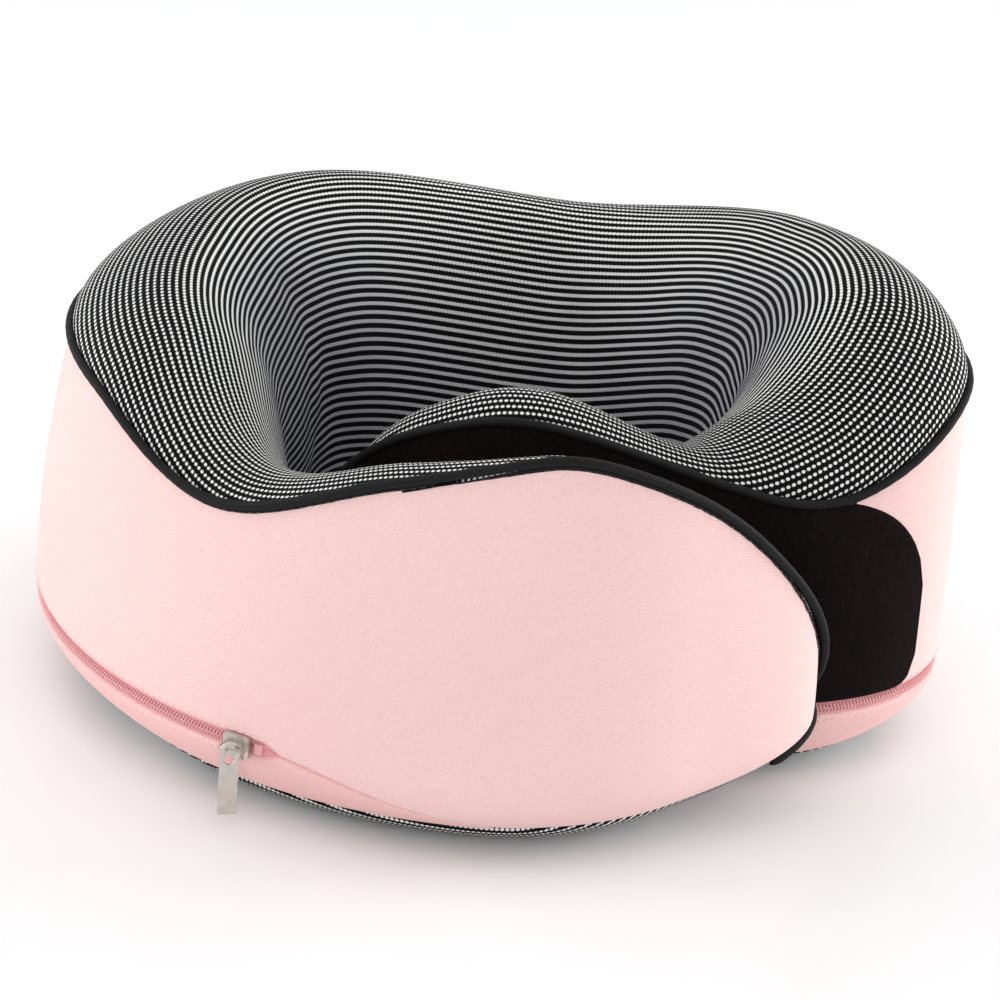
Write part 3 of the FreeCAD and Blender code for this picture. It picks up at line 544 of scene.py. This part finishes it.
def new_material(name, **sockets):
    """Material with one shader, whose plain values are set on its own sockets."""
    made = bpy.data.materials.new(name)
    made.use_nodes = True
    surface = made.node_tree.nodes["Principled BSDF"].inputs
    for socket, value in sockets.items():
        surface[socket.replace("_", " ")].default_value = value
    return made, made.node_tree, surface


def dotted_knit():
    """Polyester jacquard knit: white loops stand on a black ground, in rows along the ring.
    Where the fabric is pressed together round the hollow its loops touch and read as pale ribs;
    there the white loops are also greyed, partly for the crowded knit and partly as painted shade of the hollow."""
    made, tree, surface = new_material("DottedJacquardKnit", Roughness=0.9, Specular_IOR_Level=0.15)
    where = add_node(tree, "ShaderNodeTexCoord", out="Object")
    weave = add_node(tree, "ShaderNodeUVMap", uv_map="weave")
    counted = add_node(tree, "ShaderNodeSeparateXYZ", {0: weave}).node.outputs
    crowd = add_node(tree, "ShaderNodeAttribute", out="Fac", attribute_name="crowding")
    row = add_node(tree, "ShaderNodeMath", {0: counted[1]}, operation="FLOOR")
    staggered = add_node(tree, "ShaderNodeMath", {0: row, 1: 0.5, 2: counted[0]}, operation="MULTIPLY_ADD")
    cell = add_node(tree, "ShaderNodeCombineXYZ", {0: staggered, 1: counted[1]})
    cell = add_node(tree, "ShaderNodeVectorMath", {0: cell}, operation="FRACTION")
    cell = add_node(tree, "ShaderNodeVectorMath", {0: cell, 1: (0.5, 0.5, 0.0)}, operation="SUBTRACT")
    half_long = add_node(tree, "ShaderNodeMapRange", {0: crowd, 1: 1.05, 2: 0.68, 3: 0.38, 4: 0.90})
    half_size = add_node(tree, "ShaderNodeCombineXYZ", {0: half_long, 1: 0.25, 2: 1.0})
    cell_share = add_node(tree, "ShaderNodeVectorMath", {0: cell, 1: half_size}, operation="DIVIDE")
    far = add_node(tree, "ShaderNodeVectorMath", {0: cell_share}, out=1, operation="LENGTH")
    dot = add_node(tree, "ShaderNodeMapRange", {0: far, 1: 1.12, 2: 0.76}, interpolation_type="SMOOTHSTEP")
    # grey loops where the fabric crowds in the hollow: partly the crowded knit, partly painted shade of the hollow
    squeezed_and_shaded = add_node(tree, "ShaderNodeMapRange", {0: crowd, 1: 0.95, 2: 0.62}, interpolation_type="SMOOTHSTEP")
    fibre = add_node(tree, "ShaderNodeTexNoise", {"Vector": where, "Scale": 2600.0, "Detail": 2.0})
    patchy = add_node(tree, "ShaderNodeTexNoise", {"Vector": where, "Scale": 60.0, "Detail": 2.0})
    white = add_node(tree, "ShaderNodeMix", {0: squeezed_and_shaded, 6: linear("#F4F4F2"), 7: linear("#A2A2A8")}, **RGBA)
    shaded = add_node(tree, "ShaderNodeMath", {0: fibre, 1: 0.3}, operation="MULTIPLY")
    white = add_node(tree, "ShaderNodeMix", {0: shaded, 6: white, 7: linear("#8E8E90")}, **RGBA)
    ground = add_node(tree, "ShaderNodeMix", {0: patchy, 6: linear("#040405"), 7: linear("#0D0D0F")}, **RGBA)
    add_node(tree, "ShaderNodeMix", {0: dot, 6: ground, 7: white}, into=surface["Base Color"], **RGBA)
    raised = add_node(tree, "ShaderNodeMath", {0: dot, 1: 3.0, 2: fibre}, operation="MULTIPLY_ADD")
    add_node(tree, "ShaderNodeBump", {"Strength": 0.8, "Distance": 0.0002, "Height": raised}, into=surface["Normal"])
    return made


def jersey(name, base, pale, deep):
    """Brushed jersey: fine slanting loops and a soft short fuzz.
    The loops are drawn 0.8 mm apart, a little coarser than real ones, so that they still show."""
    made, tree, surface = new_material(name, Roughness=0.9, Specular_IOR_Level=0.15, Sheen_Weight=0.3,
                                       Sheen_Roughness=0.4, Sheen_Tint=linear(pale))
    where = add_node(tree, "ShaderNodeTexCoord", out="Object")
    weave = add_node(tree, "ShaderNodeUVMap", uv_map="weave")
    slanted = add_node(tree, "ShaderNodeMapping", {"Vector": weave, "Rotation": (0.0, 0.0, radians(62))})
    loops = add_node(tree, "ShaderNodeTexWave", {"Vector": slanted, "Scale": 0.38, "Distortion": 7.0,
                                                 "Detail": 3.0, "Detail Scale": 3.0}, out="Fac")
    fuzz = add_node(tree, "ShaderNodeTexNoise", {"Vector": where, "Scale": 1400.0, "Detail": 3.0})
    wide = add_node(tree, "ShaderNodeTexNoise", {"Vector": where, "Scale": 14.0, "Detail": 1.0})
    colour = add_node(tree, "ShaderNodeMix", {0: wide, 6: linear(base), 7: linear(pale)}, **RGBA)
    speckle = add_node(tree, "ShaderNodeMath", {0: loops, 1: fuzz}, operation="MULTIPLY")
    speckle = add_node(tree, "ShaderNodeMapRange", {0: speckle, 1: 0.1, 2: 0.5, 3: 0.0, 4: 0.5})
    add_node(tree, "ShaderNodeMix", {0: speckle, 6: colour, 7: linear(deep)}, into=surface["Base Color"], **RGBA)
    raised = add_node(tree, "ShaderNodeMath", {0: loops, 1: 0.3, 2: fuzz}, operation="MULTIPLY_ADD")
    add_node(tree, "ShaderNodeBump", {"Strength": 0.3, "Distance": 0.0002, "Height": raised}, into=surface["Normal"])
    return made


def piping_knit():
    """Black polyester rib over a cord: tight ribs 0.8 mm apart across the cord, a little rubbed in places."""
    made, tree, surface = new_material("BlackPipingFabric", Roughness=0.75, Specular_IOR_Level=0.25)
    where = add_node(tree, "ShaderNodeTexCoord", out="Object")
    weave = add_node(tree, "ShaderNodeUVMap", uv_map="weave")
    ribs = add_node(tree, "ShaderNodeTexWave", {"Vector": weave, "Scale": 0.3927, "Distortion": 0.4}, out="Fac")
    fuzz = add_node(tree, "ShaderNodeTexNoise", {"Vector": where, "Scale": 1800.0, "Detail": 3.0})
    rubbed = add_node(tree, "ShaderNodeTexNoise", {"Vector": where, "Scale": 90.0, "Detail": 2.0})
    colour = add_node(tree, "ShaderNodeMix", {0: rubbed, 6: linear("#040405"), 7: linear("#0C0C0E")}, **RGBA)
    crown = add_node(tree, "ShaderNodeMath", {0: ribs, 1: 0.4}, operation="MULTIPLY")
    add_node(tree, "ShaderNodeMix", {0: crown, 6: colour, 7: linear("#1B1B1E")}, into=surface["Base Color"], **RGBA)
    raised = add_node(tree, "ShaderNodeMath", {0: ribs, 1: fuzz}, operation="ADD")
    add_node(tree, "ShaderNodeBump", {"Strength": 0.5, "Distance": 0.0002, "Height": raised}, into=surface["Normal"])
    return made


def loop_plush():
    """Brushed loop pile for a hook fastener: near black with fine brown flecks and an upright nap."""
    made, tree, surface = new_material("BlackLoopPlush", Roughness=1.0, Specular_IOR_Level=0.05,
                                       Sheen_Weight=0.12, Sheen_Roughness=0.3, Sheen_Tint=linear("#8A7A78"))
    where = add_node(tree, "ShaderNodeTexCoord", out="Object")
    weave = add_node(tree, "ShaderNodeUVMap", uv_map="weave")
    upright = add_node(tree, "ShaderNodeMapping", {"Vector": weave, "Scale": (0.9, 0.12, 1.0)})
    nap = add_node(tree, "ShaderNodeTexNoise", {"Vector": upright, "Scale": 1.0, "Detail": 3.0})
    tufts = add_node(tree, "ShaderNodeTexNoise", {"Vector": where, "Scale": 2200.0, "Detail": 3.0, "Roughness": 0.7})
    sweep = add_node(tree, "ShaderNodeTexNoise", {"Vector": where, "Scale": 45.0, "Detail": 2.0})
    colour = add_node(tree, "ShaderNodeMix", {0: nap, 6: linear("#060405"), 7: linear("#181112")}, **RGBA)
    fleck = add_node(tree, "ShaderNodeMapRange", {0: tufts, 1: 0.5, 2: 0.72})
    fleck = add_node(tree, "ShaderNodeMath", {0: fleck, 1: sweep}, operation="MULTIPLY")
    add_node(tree, "ShaderNodeMix", {0: fleck, 6: colour, 7: linear("#3A2F2E")}, into=surface["Base Color"], **RGBA)
    raised = add_node(tree, "ShaderNodeMath", {0: nap, 1: tufts}, operation="ADD")
    add_node(tree, "ShaderNodeBump", {"Strength": 0.6, "Distance": 0.0004, "Height": raised}, into=surface["Normal"])
    return made


def woven_tape():
    """Woven polyester zipper tape with slanting ribs 0.6 mm apart."""
    made, tree, surface = new_material("PinkZipperTape", Roughness=0.75, Specular_IOR_Level=0.25,
                                       Sheen_Weight=0.15)
    where = add_node(tree, "ShaderNodeTexCoord", out="Object")
    weave = add_node(tree, "ShaderNodeUVMap", uv_map="weave")
    slanted = add_node(tree, "ShaderNodeMapping", {"Vector": weave, "Rotation": (0.0, 0.0, radians(30))})
    ribs = add_node(tree, "ShaderNodeTexWave", {"Vector": slanted, "Scale": 0.5236, "Distortion": 0.3}, out="Fac")
    fuzz = add_node(tree, "ShaderNodeTexNoise", {"Vector": where, "Scale": 1500.0, "Detail": 2.0})
    share = add_node(tree, "ShaderNodeMath", {0: ribs, 1: fuzz}, operation="MULTIPLY")
    add_node(tree, "ShaderNodeMix", {0: share, 6: linear("#E9A9AC"), 7: linear("#D98F94")},
             into=surface["Base Color"], **RGBA)
    add_node(tree, "ShaderNodeBump", {"Strength": 0.5, "Distance": 0.0002, "Height": ribs}, into=surface["Normal"])
    return made


def hook_tape():
    """Moulded nylon hook tape: a grid of stiff hooks 1.4 mm apart on a dark woven ground."""
    made, tree, surface = new_material("BlackHookTape", Roughness=0.55, IOR=1.53)
    weave = add_node(tree, "ShaderNodeUVMap", uv_map="weave")
    spaced = add_node(tree, "ShaderNodeVectorMath", {0: weave, 1: (1 / 1.4, 1 / 1.4, 0.0)}, operation="MULTIPLY")
    cell = add_node(tree, "ShaderNodeVectorMath", {0: spaced}, operation="FRACTION")
    centre = add_node(tree, "ShaderNodeVectorMath", {0: cell, 1: (0.5, 0.5, 0.0)}, out=1, operation="DISTANCE")
    hooks = add_node(tree, "ShaderNodeMapRange", {0: centre, 1: 0.42, 2: 0.12}, interpolation_type="SMOOTHSTEP")
    add_node(tree, "ShaderNodeMix", {0: hooks, 6: linear("#0B0A0B"), 7: linear("#2C2A2C")},
             into=surface["Base Color"], **RGBA)
    add_node(tree, "ShaderNodeBump", {"Strength": 1.0, "Distance": 0.0008, "Height": hooks}, into=surface["Normal"])
    return made


def satin_nickel():
    """Zinc die casting, nickel plated and tumbled: satin silver with fine upright brushing."""
    made, tree, surface = new_material("SatinNickelPlate", Metallic=1.0)
    where = add_node(tree, "ShaderNodeTexCoord", out="Object")
    brushed = add_node(tree, "ShaderNodeMapping", {"Vector": where, "Scale": (1.0, 1.0, 0.12)})
    grain = add_node(tree, "ShaderNodeTexNoise", {"Vector": brushed, "Scale": 3200.0, "Detail": 2.0})
    cloud = add_node(tree, "ShaderNodeTexNoise", {"Vector": where, "Scale": 350.0, "Detail": 2.0})
    add_node(tree, "ShaderNodeMix", {0: cloud, 6: linear("#D8D4CE"), 7: linear("#B9B4AC")},
             into=surface["Base Color"], **RGBA)
    add_node(tree, "ShaderNodeMapRange", {0: grain, 3: 0.2, 4: 0.42}, into=surface["Roughness"])
    add_node(tree, "ShaderNodeBump", {"Strength": 0.15, "Distance": 0.0001, "Height": grain}, into=surface["Normal"])
    return made


def clouded(name, scale, first, second, relief, **sockets):
    """A plain finish whose colour varies softly, and its relief with it unless it is flat."""
    made, tree, surface = new_material(name, **sockets)
    where = add_node(tree, "ShaderNodeTexCoord", out="Object")
    cloud = add_node(tree, "ShaderNodeTexNoise", {"Vector": where, "Scale": scale, "Detail": 2.0})
    add_node(tree, "ShaderNodeMix", {0: cloud, 6: linear(first), 7: linear(second)},
             into=surface["Base Color"], **RGBA)
    if relief:
        add_node(tree, "ShaderNodeBump", {"Strength": relief, "Distance": 0.0001, "Height": cloud},
                 into=surface["Normal"])
    return made


KNIT = dotted_knit()
PINK = jersey("PinkBrushedJersey", "#F0CBC8", "#F3D5D3", "#E0AFAB")
BAND = jersey("PinkBandJersey", "#EFC1BE", "#F2CCC9", "#DCA4A1")
PIPING = piping_knit()
PLUSH = loop_plush()
TAPE = woven_tape()
HOOKS = hook_tape()
NICKEL = satin_nickel()
# drawn nylon monofilament, a little glossy; polyester thread, its gloss broken by its twist; baked lacquer on
# the small metal stops; seamless white paper
COIL = clouded("PinkNylonCoil", 500.0, "#EFB9BA", "#E2A0A3", 0.2, Roughness=0.4, IOR=1.53)
PINK_THREAD = clouded("PinkThread", 2400.0, "#EDB3B2", "#F6CFCC", 0.4, Roughness=0.55, Sheen_Weight=0.1)
BLACK_THREAD = clouded("BlackThread", 2400.0, "#141416", "#2A2A2D", 0.4, Roughness=0.55, Sheen_Weight=0.1)
LACQUER = clouded("PinkStopLacquer", 700.0, "#EBB0B2", "#DE9DA0", 0.2, Roughness=0.35, IOR=1.5)
PAPER = clouded("WhitePaper", 30.0, "#F0F0F1", "#F4F5F5", 0.0, Roughness=0.35, Specular_IOR_Level=0.35)


def sew_on(piece, nodes=()):
    """A soft piece of one half of the ring: hides the CAD nodes it replaces and bakes its placement in."""
    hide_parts(*nodes)
    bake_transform(piece)
    return piece


def both(side, *names):
    """CAD nodes of an arm and of the back that these pieces stand in for."""
    return [f"{part}_{name}" for part in (side, "back") for name in names]


# ------------------------------------------------------------------ lengths where seams lie
def zero(skin):
    return np.zeros(len(skin.angles))


def hollow_seam(skin):
    return skin.inner.whole * HOLLOW_SEAM


def whole_inner(skin):
    return skin.inner.whole


def whole_outer(skin):
    return skin.outer.whole


def seam_level(skin):
    """The zipper's level; past the slider the left seam runs down to the lower edge."""
    if skin.side == "right":
        return skin.zip
    return skin.zip - (skin.zip - skin.low) * ease(skin.angles, ZIP_PARK + 2, SEAM_FOOT + 4)


def opening(skin):
    """Width of the zipper opening, which closes into a plain seam at both ends."""
    stop = ZIP_END if skin.side == "left" else ZIP_STOP + 2.5
    return ZIP_OPENING * (1 - ease(skin.angles, stop, stop + 2)) * skin.scale


def over_seam(skin):
    lower = skin.length_at_level(seam_level(skin)) - opening(skin) / 2
    return np.minimum(lower, skin.outer.whole)


def under_seam(skin):
    return skin.length_at_level(seam_level(skin)) + opening(skin) / 2


def patch_top(skin):
    """The loop patch's free corner is cut round: its upper edge comes down towards the free edge."""
    return over_seam(skin) * 0.55 * (1 - dome((skin.angles - PATCH_START) / 15.0, 1.5))


def patch_foot(skin):
    return over_seam(skin) * (1 - 0.10 * (1 - dome((skin.angles - PATCH_START) / 3.0)))


# ------------------------------------------------------------------ cover panels
swell_cover()


def make_covers(side):
    """Dotted top and bottom panels and the pink panels of one half."""
    whole = ring_angles(side, FINE)
    top = cover_panel(f"{side}_top_cover", side, whole, "inner", zero, hollow_seam, 84, KNIT, dotted=True)
    sew_on(top, both(side, "top_panel", "foam_core"))
    bottom = cover_panel(f"{side}_bottom_cover", side, whole, "inner", hollow_seam, whole_inner, 34, KNIT,
                         dotted=True)
    sew_on(bottom, both(side, "bottom_panel"))
    pink_end = None if side == "left" else PATCH_START + 12
    pink = cover_panel(f"{side}_side_cover", side, ring_angles(side, FINE, 0.0, pink_end), "outer", zero, over_seam,
                       44, PINK, pucker=0.16)
    sew_on(pink, both(side, "side_panel"))
    band_end = BAND_END + 6 if side == "left" else None
    band = cover_panel(f"{side}_band_cover", side, ring_angles(side, FINE, 0.0, band_end), "outer", under_seam,
                       whole_outer, 12, BAND)
    sew_on(band, both(side, "side_band"))


make_covers("left")
make_covers("right")

patch_run = ring_angles("right", FINE, PATCH_START)
patch = cover_panel("right_loop_patch", "right", patch_run, "outer", patch_top, patch_foot, 44, PLUSH, stand=0.9)
sew_on(patch, ["loop_patch"])
hook_run = ring_angles("left", FINE, HOOK_FROM, HOOK_UPTO)
hook = flat_strip("left_hook_patch", "left", hook_run, "inner", lambda s: s.inner.whole * HOOK_SHARES[0],
                  lambda s: s.inner.whole * HOOK_SHARES[1], -HOOK_STAND, HOOK_THICK, 24, HOOKS)
sew_on(hook, ["hook_patch"])


# ------------------------------------------------------------------ piping
def piping_line(side, stand, which="top", angles=None):
    """Points along an edge of the cover, in metres, with the way out of the corner."""
    skin = Skin(side, ring_angles(side, FINE) if angles is None else angles)
    corner, away, _ = skin.edge(which)
    stand = (stand + TIP_STAND * (1 - skin.round))[:, None]
    ahead = np.gradient(skin.base, axis=0) / np.gradient(skin.angles)[:, None]
    ahead *= (TIP_REACH * MM * (1 - ease(TIP[side] - skin.angles, 0, 16)) / np.linalg.norm(ahead, axis=1))[:, None]
    ahead = np.pad(ahead, ((0, 0), (0, 1)))
    middle = skin.place((corner + away * stand)[:, None])[:, 0] + ahead
    tip = skin.place((corner + away * (stand + 1.0))[:, None])[:, 0] + ahead
    share = (np.zeros if which == "top" else np.ones)((len(skin.angles), 1))
    middle = middle + swelling(side, skin.angles, "outer", share)[:, 0]
    return middle, (tip - middle) / np.linalg.norm(tip - middle, axis=1)[:, None]


def make_piping(side, under):
    """Piping along the upper edge, round the tip and a little way back along the lower edge."""
    top, away = piping_line(side, CORD_STAND)
    back_angles = ring_angles(side, FINE)
    back_angles = back_angles[back_angles > TIP[side] - under][::-1]
    low, low_away = piping_line(side, CORD_STAND, "low", back_angles)
    path, ways = np.concatenate([top, low]), np.concatenate([away, low_away])
    # even steps, so that the turn round the tip is as fine as the rest
    run = run_along(path)
    even = np.arange(0, run[-1], CORD_STEP)
    keep = np.concatenate([[True], np.diff(run) > 1e-7])
    path = np.stack([np.interp(even, run[keep], path[keep, k]) for k in range(3)], axis=1)
    ways = np.stack([np.interp(even, run[keep], ways[keep, k]) for k in range(3)], axis=1)
    for _ in range(6):
        path[1:-1] = (path[:-2] + 2 * path[1:-1] + path[2:]) / 4
        ways[1:-1] = (ways[:-2] + 2 * ways[1:-1] + ways[2:]) / 4
    cord = cord_tube(f"{side}_piping_cord", path, ways, CORD_RADIUS, PIPING)
    sew_on(cord, both(side, "piping"))
    lip = flat_strip(f"{side}_piping_lip", side, ring_angles(side, FINE), "outer",
                     lambda s: np.minimum(LIP_FROM, s.outer.whole * 0.1),
                     lambda s: np.minimum(LIP_UPTO, s.outer.whole * 0.4), -0.35, 1.0, 7, PIPING, rounded=True)
    sew_on(lip)


make_piping("left", 11.0)
make_piping("right", 16.0)


# ------------------------------------------------------------------ repeated small pieces
def bent_bar(tree, start, middle, end, radius, steps=5, sides=6):
    """A short round bar bent through three points, closed at both ends."""
    line = add_node(tree, "GeometryNodeCurveQuadraticBezier",
                    {"Resolution": steps, "Start": start, "Middle": middle, "End": end})
    ring = add_node(tree, "GeometryNodeCurvePrimitiveCircle", {"Resolution": sides, "Radius": radius})
    return add_node(tree, "GeometryNodeCurveToMesh", {"Curve": line, "Profile Curve": ring, "Fill Caps": True})


def run_tree(name, shapes):
    """Tree that repeats a small shape along a path: X along it, Z out of the cloth."""
    tree = bpy.data.node_groups.new(name, "GeometryNodeTree")
    for label, kind, way in (("Path", "NodeSocketGeometry", "INPUT"), ("Pitch", "NodeSocketFloat", "INPUT"),
                             ("Scale", "NodeSocketFloat", "INPUT"), ("Finish", "NodeSocketMaterial", "INPUT"),
                             ("Pieces", "NodeSocketGeometry", "OUTPUT")):
        tree.interface.new_socket(label, socket_type=kind, in_out=way)
    given = add_node(tree, "NodeGroupInput").node.outputs
    line = add_node(tree, "GeometryNodeMeshToCurve", {0: given["Path"]})
    even = add_node(tree, "GeometryNodeResampleCurve", {"Curve": line, "Length": given["Pitch"]}, mode="LENGTH")
    along = add_node(tree, "GeometryNodeInputTangent")
    ways = add_node(tree, "GeometryNodeInputNamedAttribute", {"Name": "out"}, data_type="FLOAT_VECTOR")
    turned = add_node(tree, "FunctionNodeAlignRotationToVector", {"Vector": along}, axis="X")
    upright = add_node(tree, "FunctionNodeAlignRotationToVector", {"Rotation": turned, "Vector": ways},
                       axis="Z", pivot_axis="X")
    joined = add_node(tree, "GeometryNodeJoinGeometry")
    for shape in shapes(tree):
        tree.links.new(shape, joined.node.inputs[0])
    placed = add_node(tree, "GeometryNodeInstanceOnPoints",
                      {"Points": even, "Instance": joined, "Rotation": upright, "Scale": given["Scale"]})
    real = add_node(tree, "GeometryNodeRealizeInstances", {0: placed})
    smooth = add_node(tree, "GeometryNodeSetShadeSmooth", {0: real})
    painted = add_node(tree, "GeometryNodeSetMaterial", {"Geometry": smooth, "Material": given["Finish"]})
    add_node(tree, "NodeGroupOutput", {"Pieces": painted})
    return tree


def lockstitch(tree):
    """One stitch: it rises out of the cloth and dips back in."""
    return [bent_bar(tree, (-0.0011, 0, -0.0003), (0, 0, 0.0005), (0.0011, 0, -0.0003), 0.00022)]


def coil_pair(tree):
    """One loop of each coil, meeting at the middle and leaning the same way."""
    return [bent_bar(tree, (-0.0001, -0.0002, 0.0), (0.0001, 0.0011, 0.0011), (0.0004, 0.0017, -0.0005), 0.00033),
            bent_bar(tree, (0.0005, 0.0002, 0.0), (0.0007, -0.0011, 0.0011), (0.0010, -0.0017, -0.0005), 0.00033)]


STITCHES = run_tree("StitchRun", lockstitch)
COILS = run_tree("CoilRun", coil_pair)


def repeat_along(name, tree, path, out, pitch, finish, scale=1.0):
    """Plain mesh of the tree's shape repeated along a path, its own Z towards out."""
    mesh = bpy.data.meshes.new(name)
    mesh.from_pydata(path.tolist(), [(k, k + 1) for k in range(len(path) - 1)], [])
    ways = mesh.attributes.new("out", "FLOAT_VECTOR", "POINT")
    ways.data.foreach_set("vector", out.astype(np.float32).ravel())
    piece = bpy.data.objects.new(name, mesh)
    bpy.context.scene.collection.objects.link(piece)
    run = piece.modifiers.new("run", "NODES")
    run.node_group = tree
    values = {"Pitch": pitch, "Scale": scale, "Finish": finish}
    for item in tree.interface.items_tree:
        if item.in_out == "INPUT" and item.name in values:
            run[item.identifier] = values[item.name]
    ready = bpy.context.evaluated_depsgraph_get()
    made = bpy.data.meshes.new_from_object(piece.evaluated_get(ready), preserve_all_data_layers=True, depsgraph=ready)
    piece.modifiers.clear()
    piece.data = made
    bpy.data.meshes.remove(mesh)
    return piece


def skin_path(side, angles, line, lengths, depth):
    """Path along the skin at one length in each section, a depth under it, with the way out of the cloth."""
    skin = Skin(side, angles)
    wanted = lengths(skin)[:, None]
    outline = skin.line(line)
    flat, into = outline.at(wanted)
    shares = wanted / np.maximum(outline.whole, 1e-6)[:, None]
    moved = swelling(side, skin.angles, line, shares)[:, 0]
    deep = depth * skin.scale[:, None, None]
    points = skin.place(flat + into * deep)[:, 0] + moved
    further = skin.place(flat + into * (deep + 1.0))[:, 0] + moved
    return points, (points - further) / np.linalg.norm(points - further, axis=1)[:, None]


def make_stitches(side):
    """Topstitching on the piping's lip and both sides of the zipper."""
    lip = skin_path(side, ring_angles(side, FINE)[:-8], "outer",
                    lambda s: np.minimum(LIP_SEWN, s.outer.whole * 0.33), -0.2)
    sew_on(repeat_along(f"{side}_lip_stitches", STITCHES, *lip, LIP_STITCH, BLACK_THREAD))
    end = ZIP_END if side == "left" else ZIP_STOP + 2
    for name, offset in (("upper", -ZIP_SEWN), ("lower", ZIP_SEWN)):
        run = skin_path(side, ring_angles(side, FINE, 0.0, end), "outer",
                        lambda s, offset=offset: s.length_at_level(s.zip) + offset, 0.05)
        sew_on(repeat_along(f"{side}_zip_stitches_{name}", STITCHES, *run, ZIP_STITCH, PINK_THREAD))


def make_zipper(side):
    """Two tapes and the coil of one half."""
    end = (ZIP_END if side == "left" else ZIP_STOP + 2.5) + 3
    tapes = ring_angles(side, FINE, 0.0, end)
    inner_edge = TAPES_APART / 2
    for name, start, stop in (("upper", -TAPE_WIDE, -inner_edge), ("lower", inner_edge, TAPE_WIDE)):
        tape = flat_strip(f"{side}_zip_tape_{name}", side, tapes, "outer",
                          lambda s, start=start: s.length_at_level(s.zip) + start,
                          lambda s, stop=stop: s.length_at_level(s.zip) + stop,
                          TAPE_DEPTH, TAPE_THICK, 9, TAPE)
        sew_on(tape, both(side, f"zipper_tape_{name}"))
    stop = ZIP_PARK if side == "left" else ZIP_STOP
    line = skin_path(side, ring_angles(side, FINE, 0.0, stop), "outer", lambda s: s.length_at_level(s.zip),
                     COIL_DEPTH)
    coil = repeat_along(f"{side}_zip_coil", COILS, *line, COIL_PITCH, COIL, COIL_SCALE)
    sew_on(coil, both(side, "zipper_coil"))


for half in ("left", "right"):
    make_stitches(half)
    make_zipper(half)

for name, finish in (("zipper_slider", NICKEL), ("pull_tab", NICKEL), ("zipper_stop_left", LACQUER),
                     ("zipper_stop_right", LACQUER)):
    node = cad_nodes[name]
    node.data.materials.clear()
    node.data.materials.append(finish)


# ------------------------------------------------------------------ floor, light and camera
def make_floor():
    mesh = bpy.data.meshes.new("floor")
    mesh.from_pydata([(-4, -4, 0), (4, -4, 0), (4, 4, 0), (-4, 4, 0)], [], [(0, 1, 2, 3)])
    mesh.materials.append(PAPER)
    floor = bpy.data.objects.new("floor", mesh)
    bpy.context.scene.collection.objects.link(floor)


def add_lamp(name, place, aim, wide, watts):
    """Soft square lamp at a place, aimed at a point."""
    lamp = bpy.data.lights.new(name, "AREA")
    lamp.size, lamp.energy = wide, watts
    holder = bpy.data.objects.new(name, lamp)
    holder.location = place
    holder.rotation_euler = (Vector(aim) - Vector(place)).to_track_quat("-Z", "Y").to_euler()
    bpy.context.scene.collection.objects.link(holder)


def make_camera():
    """View from the front, a little to the right and above, tipped five degrees."""
    turn, rise, roll, away = radians(8), radians(25), radians(5), 1.15
    back = Vector((sin(turn) * cos(rise), -cos(turn) * cos(rise), sin(rise)))
    right = Vector((0, 0, 1)).cross(back).normalized()
    up = back.cross(right)
    tipped = right * cos(roll) + up * sin(roll)
    upright = up * cos(roll) - right * sin(roll)
    camera = bpy.data.cameras.new("camera")
    camera.lens, camera.sensor_width, camera.clip_start = 128, 36, 0.05
    holder = bpy.data.objects.new("camera", camera)
    turned = Matrix((tipped, upright, back)).transposed().to_4x4()
    turned.translation = Vector((0.002, 0.0, 0.065)) + back * away
    holder.matrix_world = turned
    bpy.context.scene.collection.objects.link(holder)
    bpy.context.scene.camera = holder


make_floor()
add_lamp("top_softbox", (-0.2, -0.3, 1.5), (0, 0, 0.05), 1.3, 2.5)
add_lamp("front_softbox", (0.1, -1.7, 0.5), (0, 0, 0.03), 1.2, 3.6)
add_lamp("left_softbox", (-1.4, 0.0, 0.35), (0, 0, 0.07), 0.9, 11)
add_lamp("right_softbox", (1.4, 0.7, 0.35), (0, 0, 0.07), 0.9, 20)
world = bpy.data.worlds.new("studio")
world.use_nodes = True
world.node_tree.nodes["Background"].inputs["Color"].default_value = (1.0, 1.0, 1.0, 1.0)
world.node_tree.nodes["Background"].inputs["Strength"].default_value = 0.84
bpy.context.scene.world = world
bpy.context.scene.view_settings.view_transform = "Standard"
make_camera()
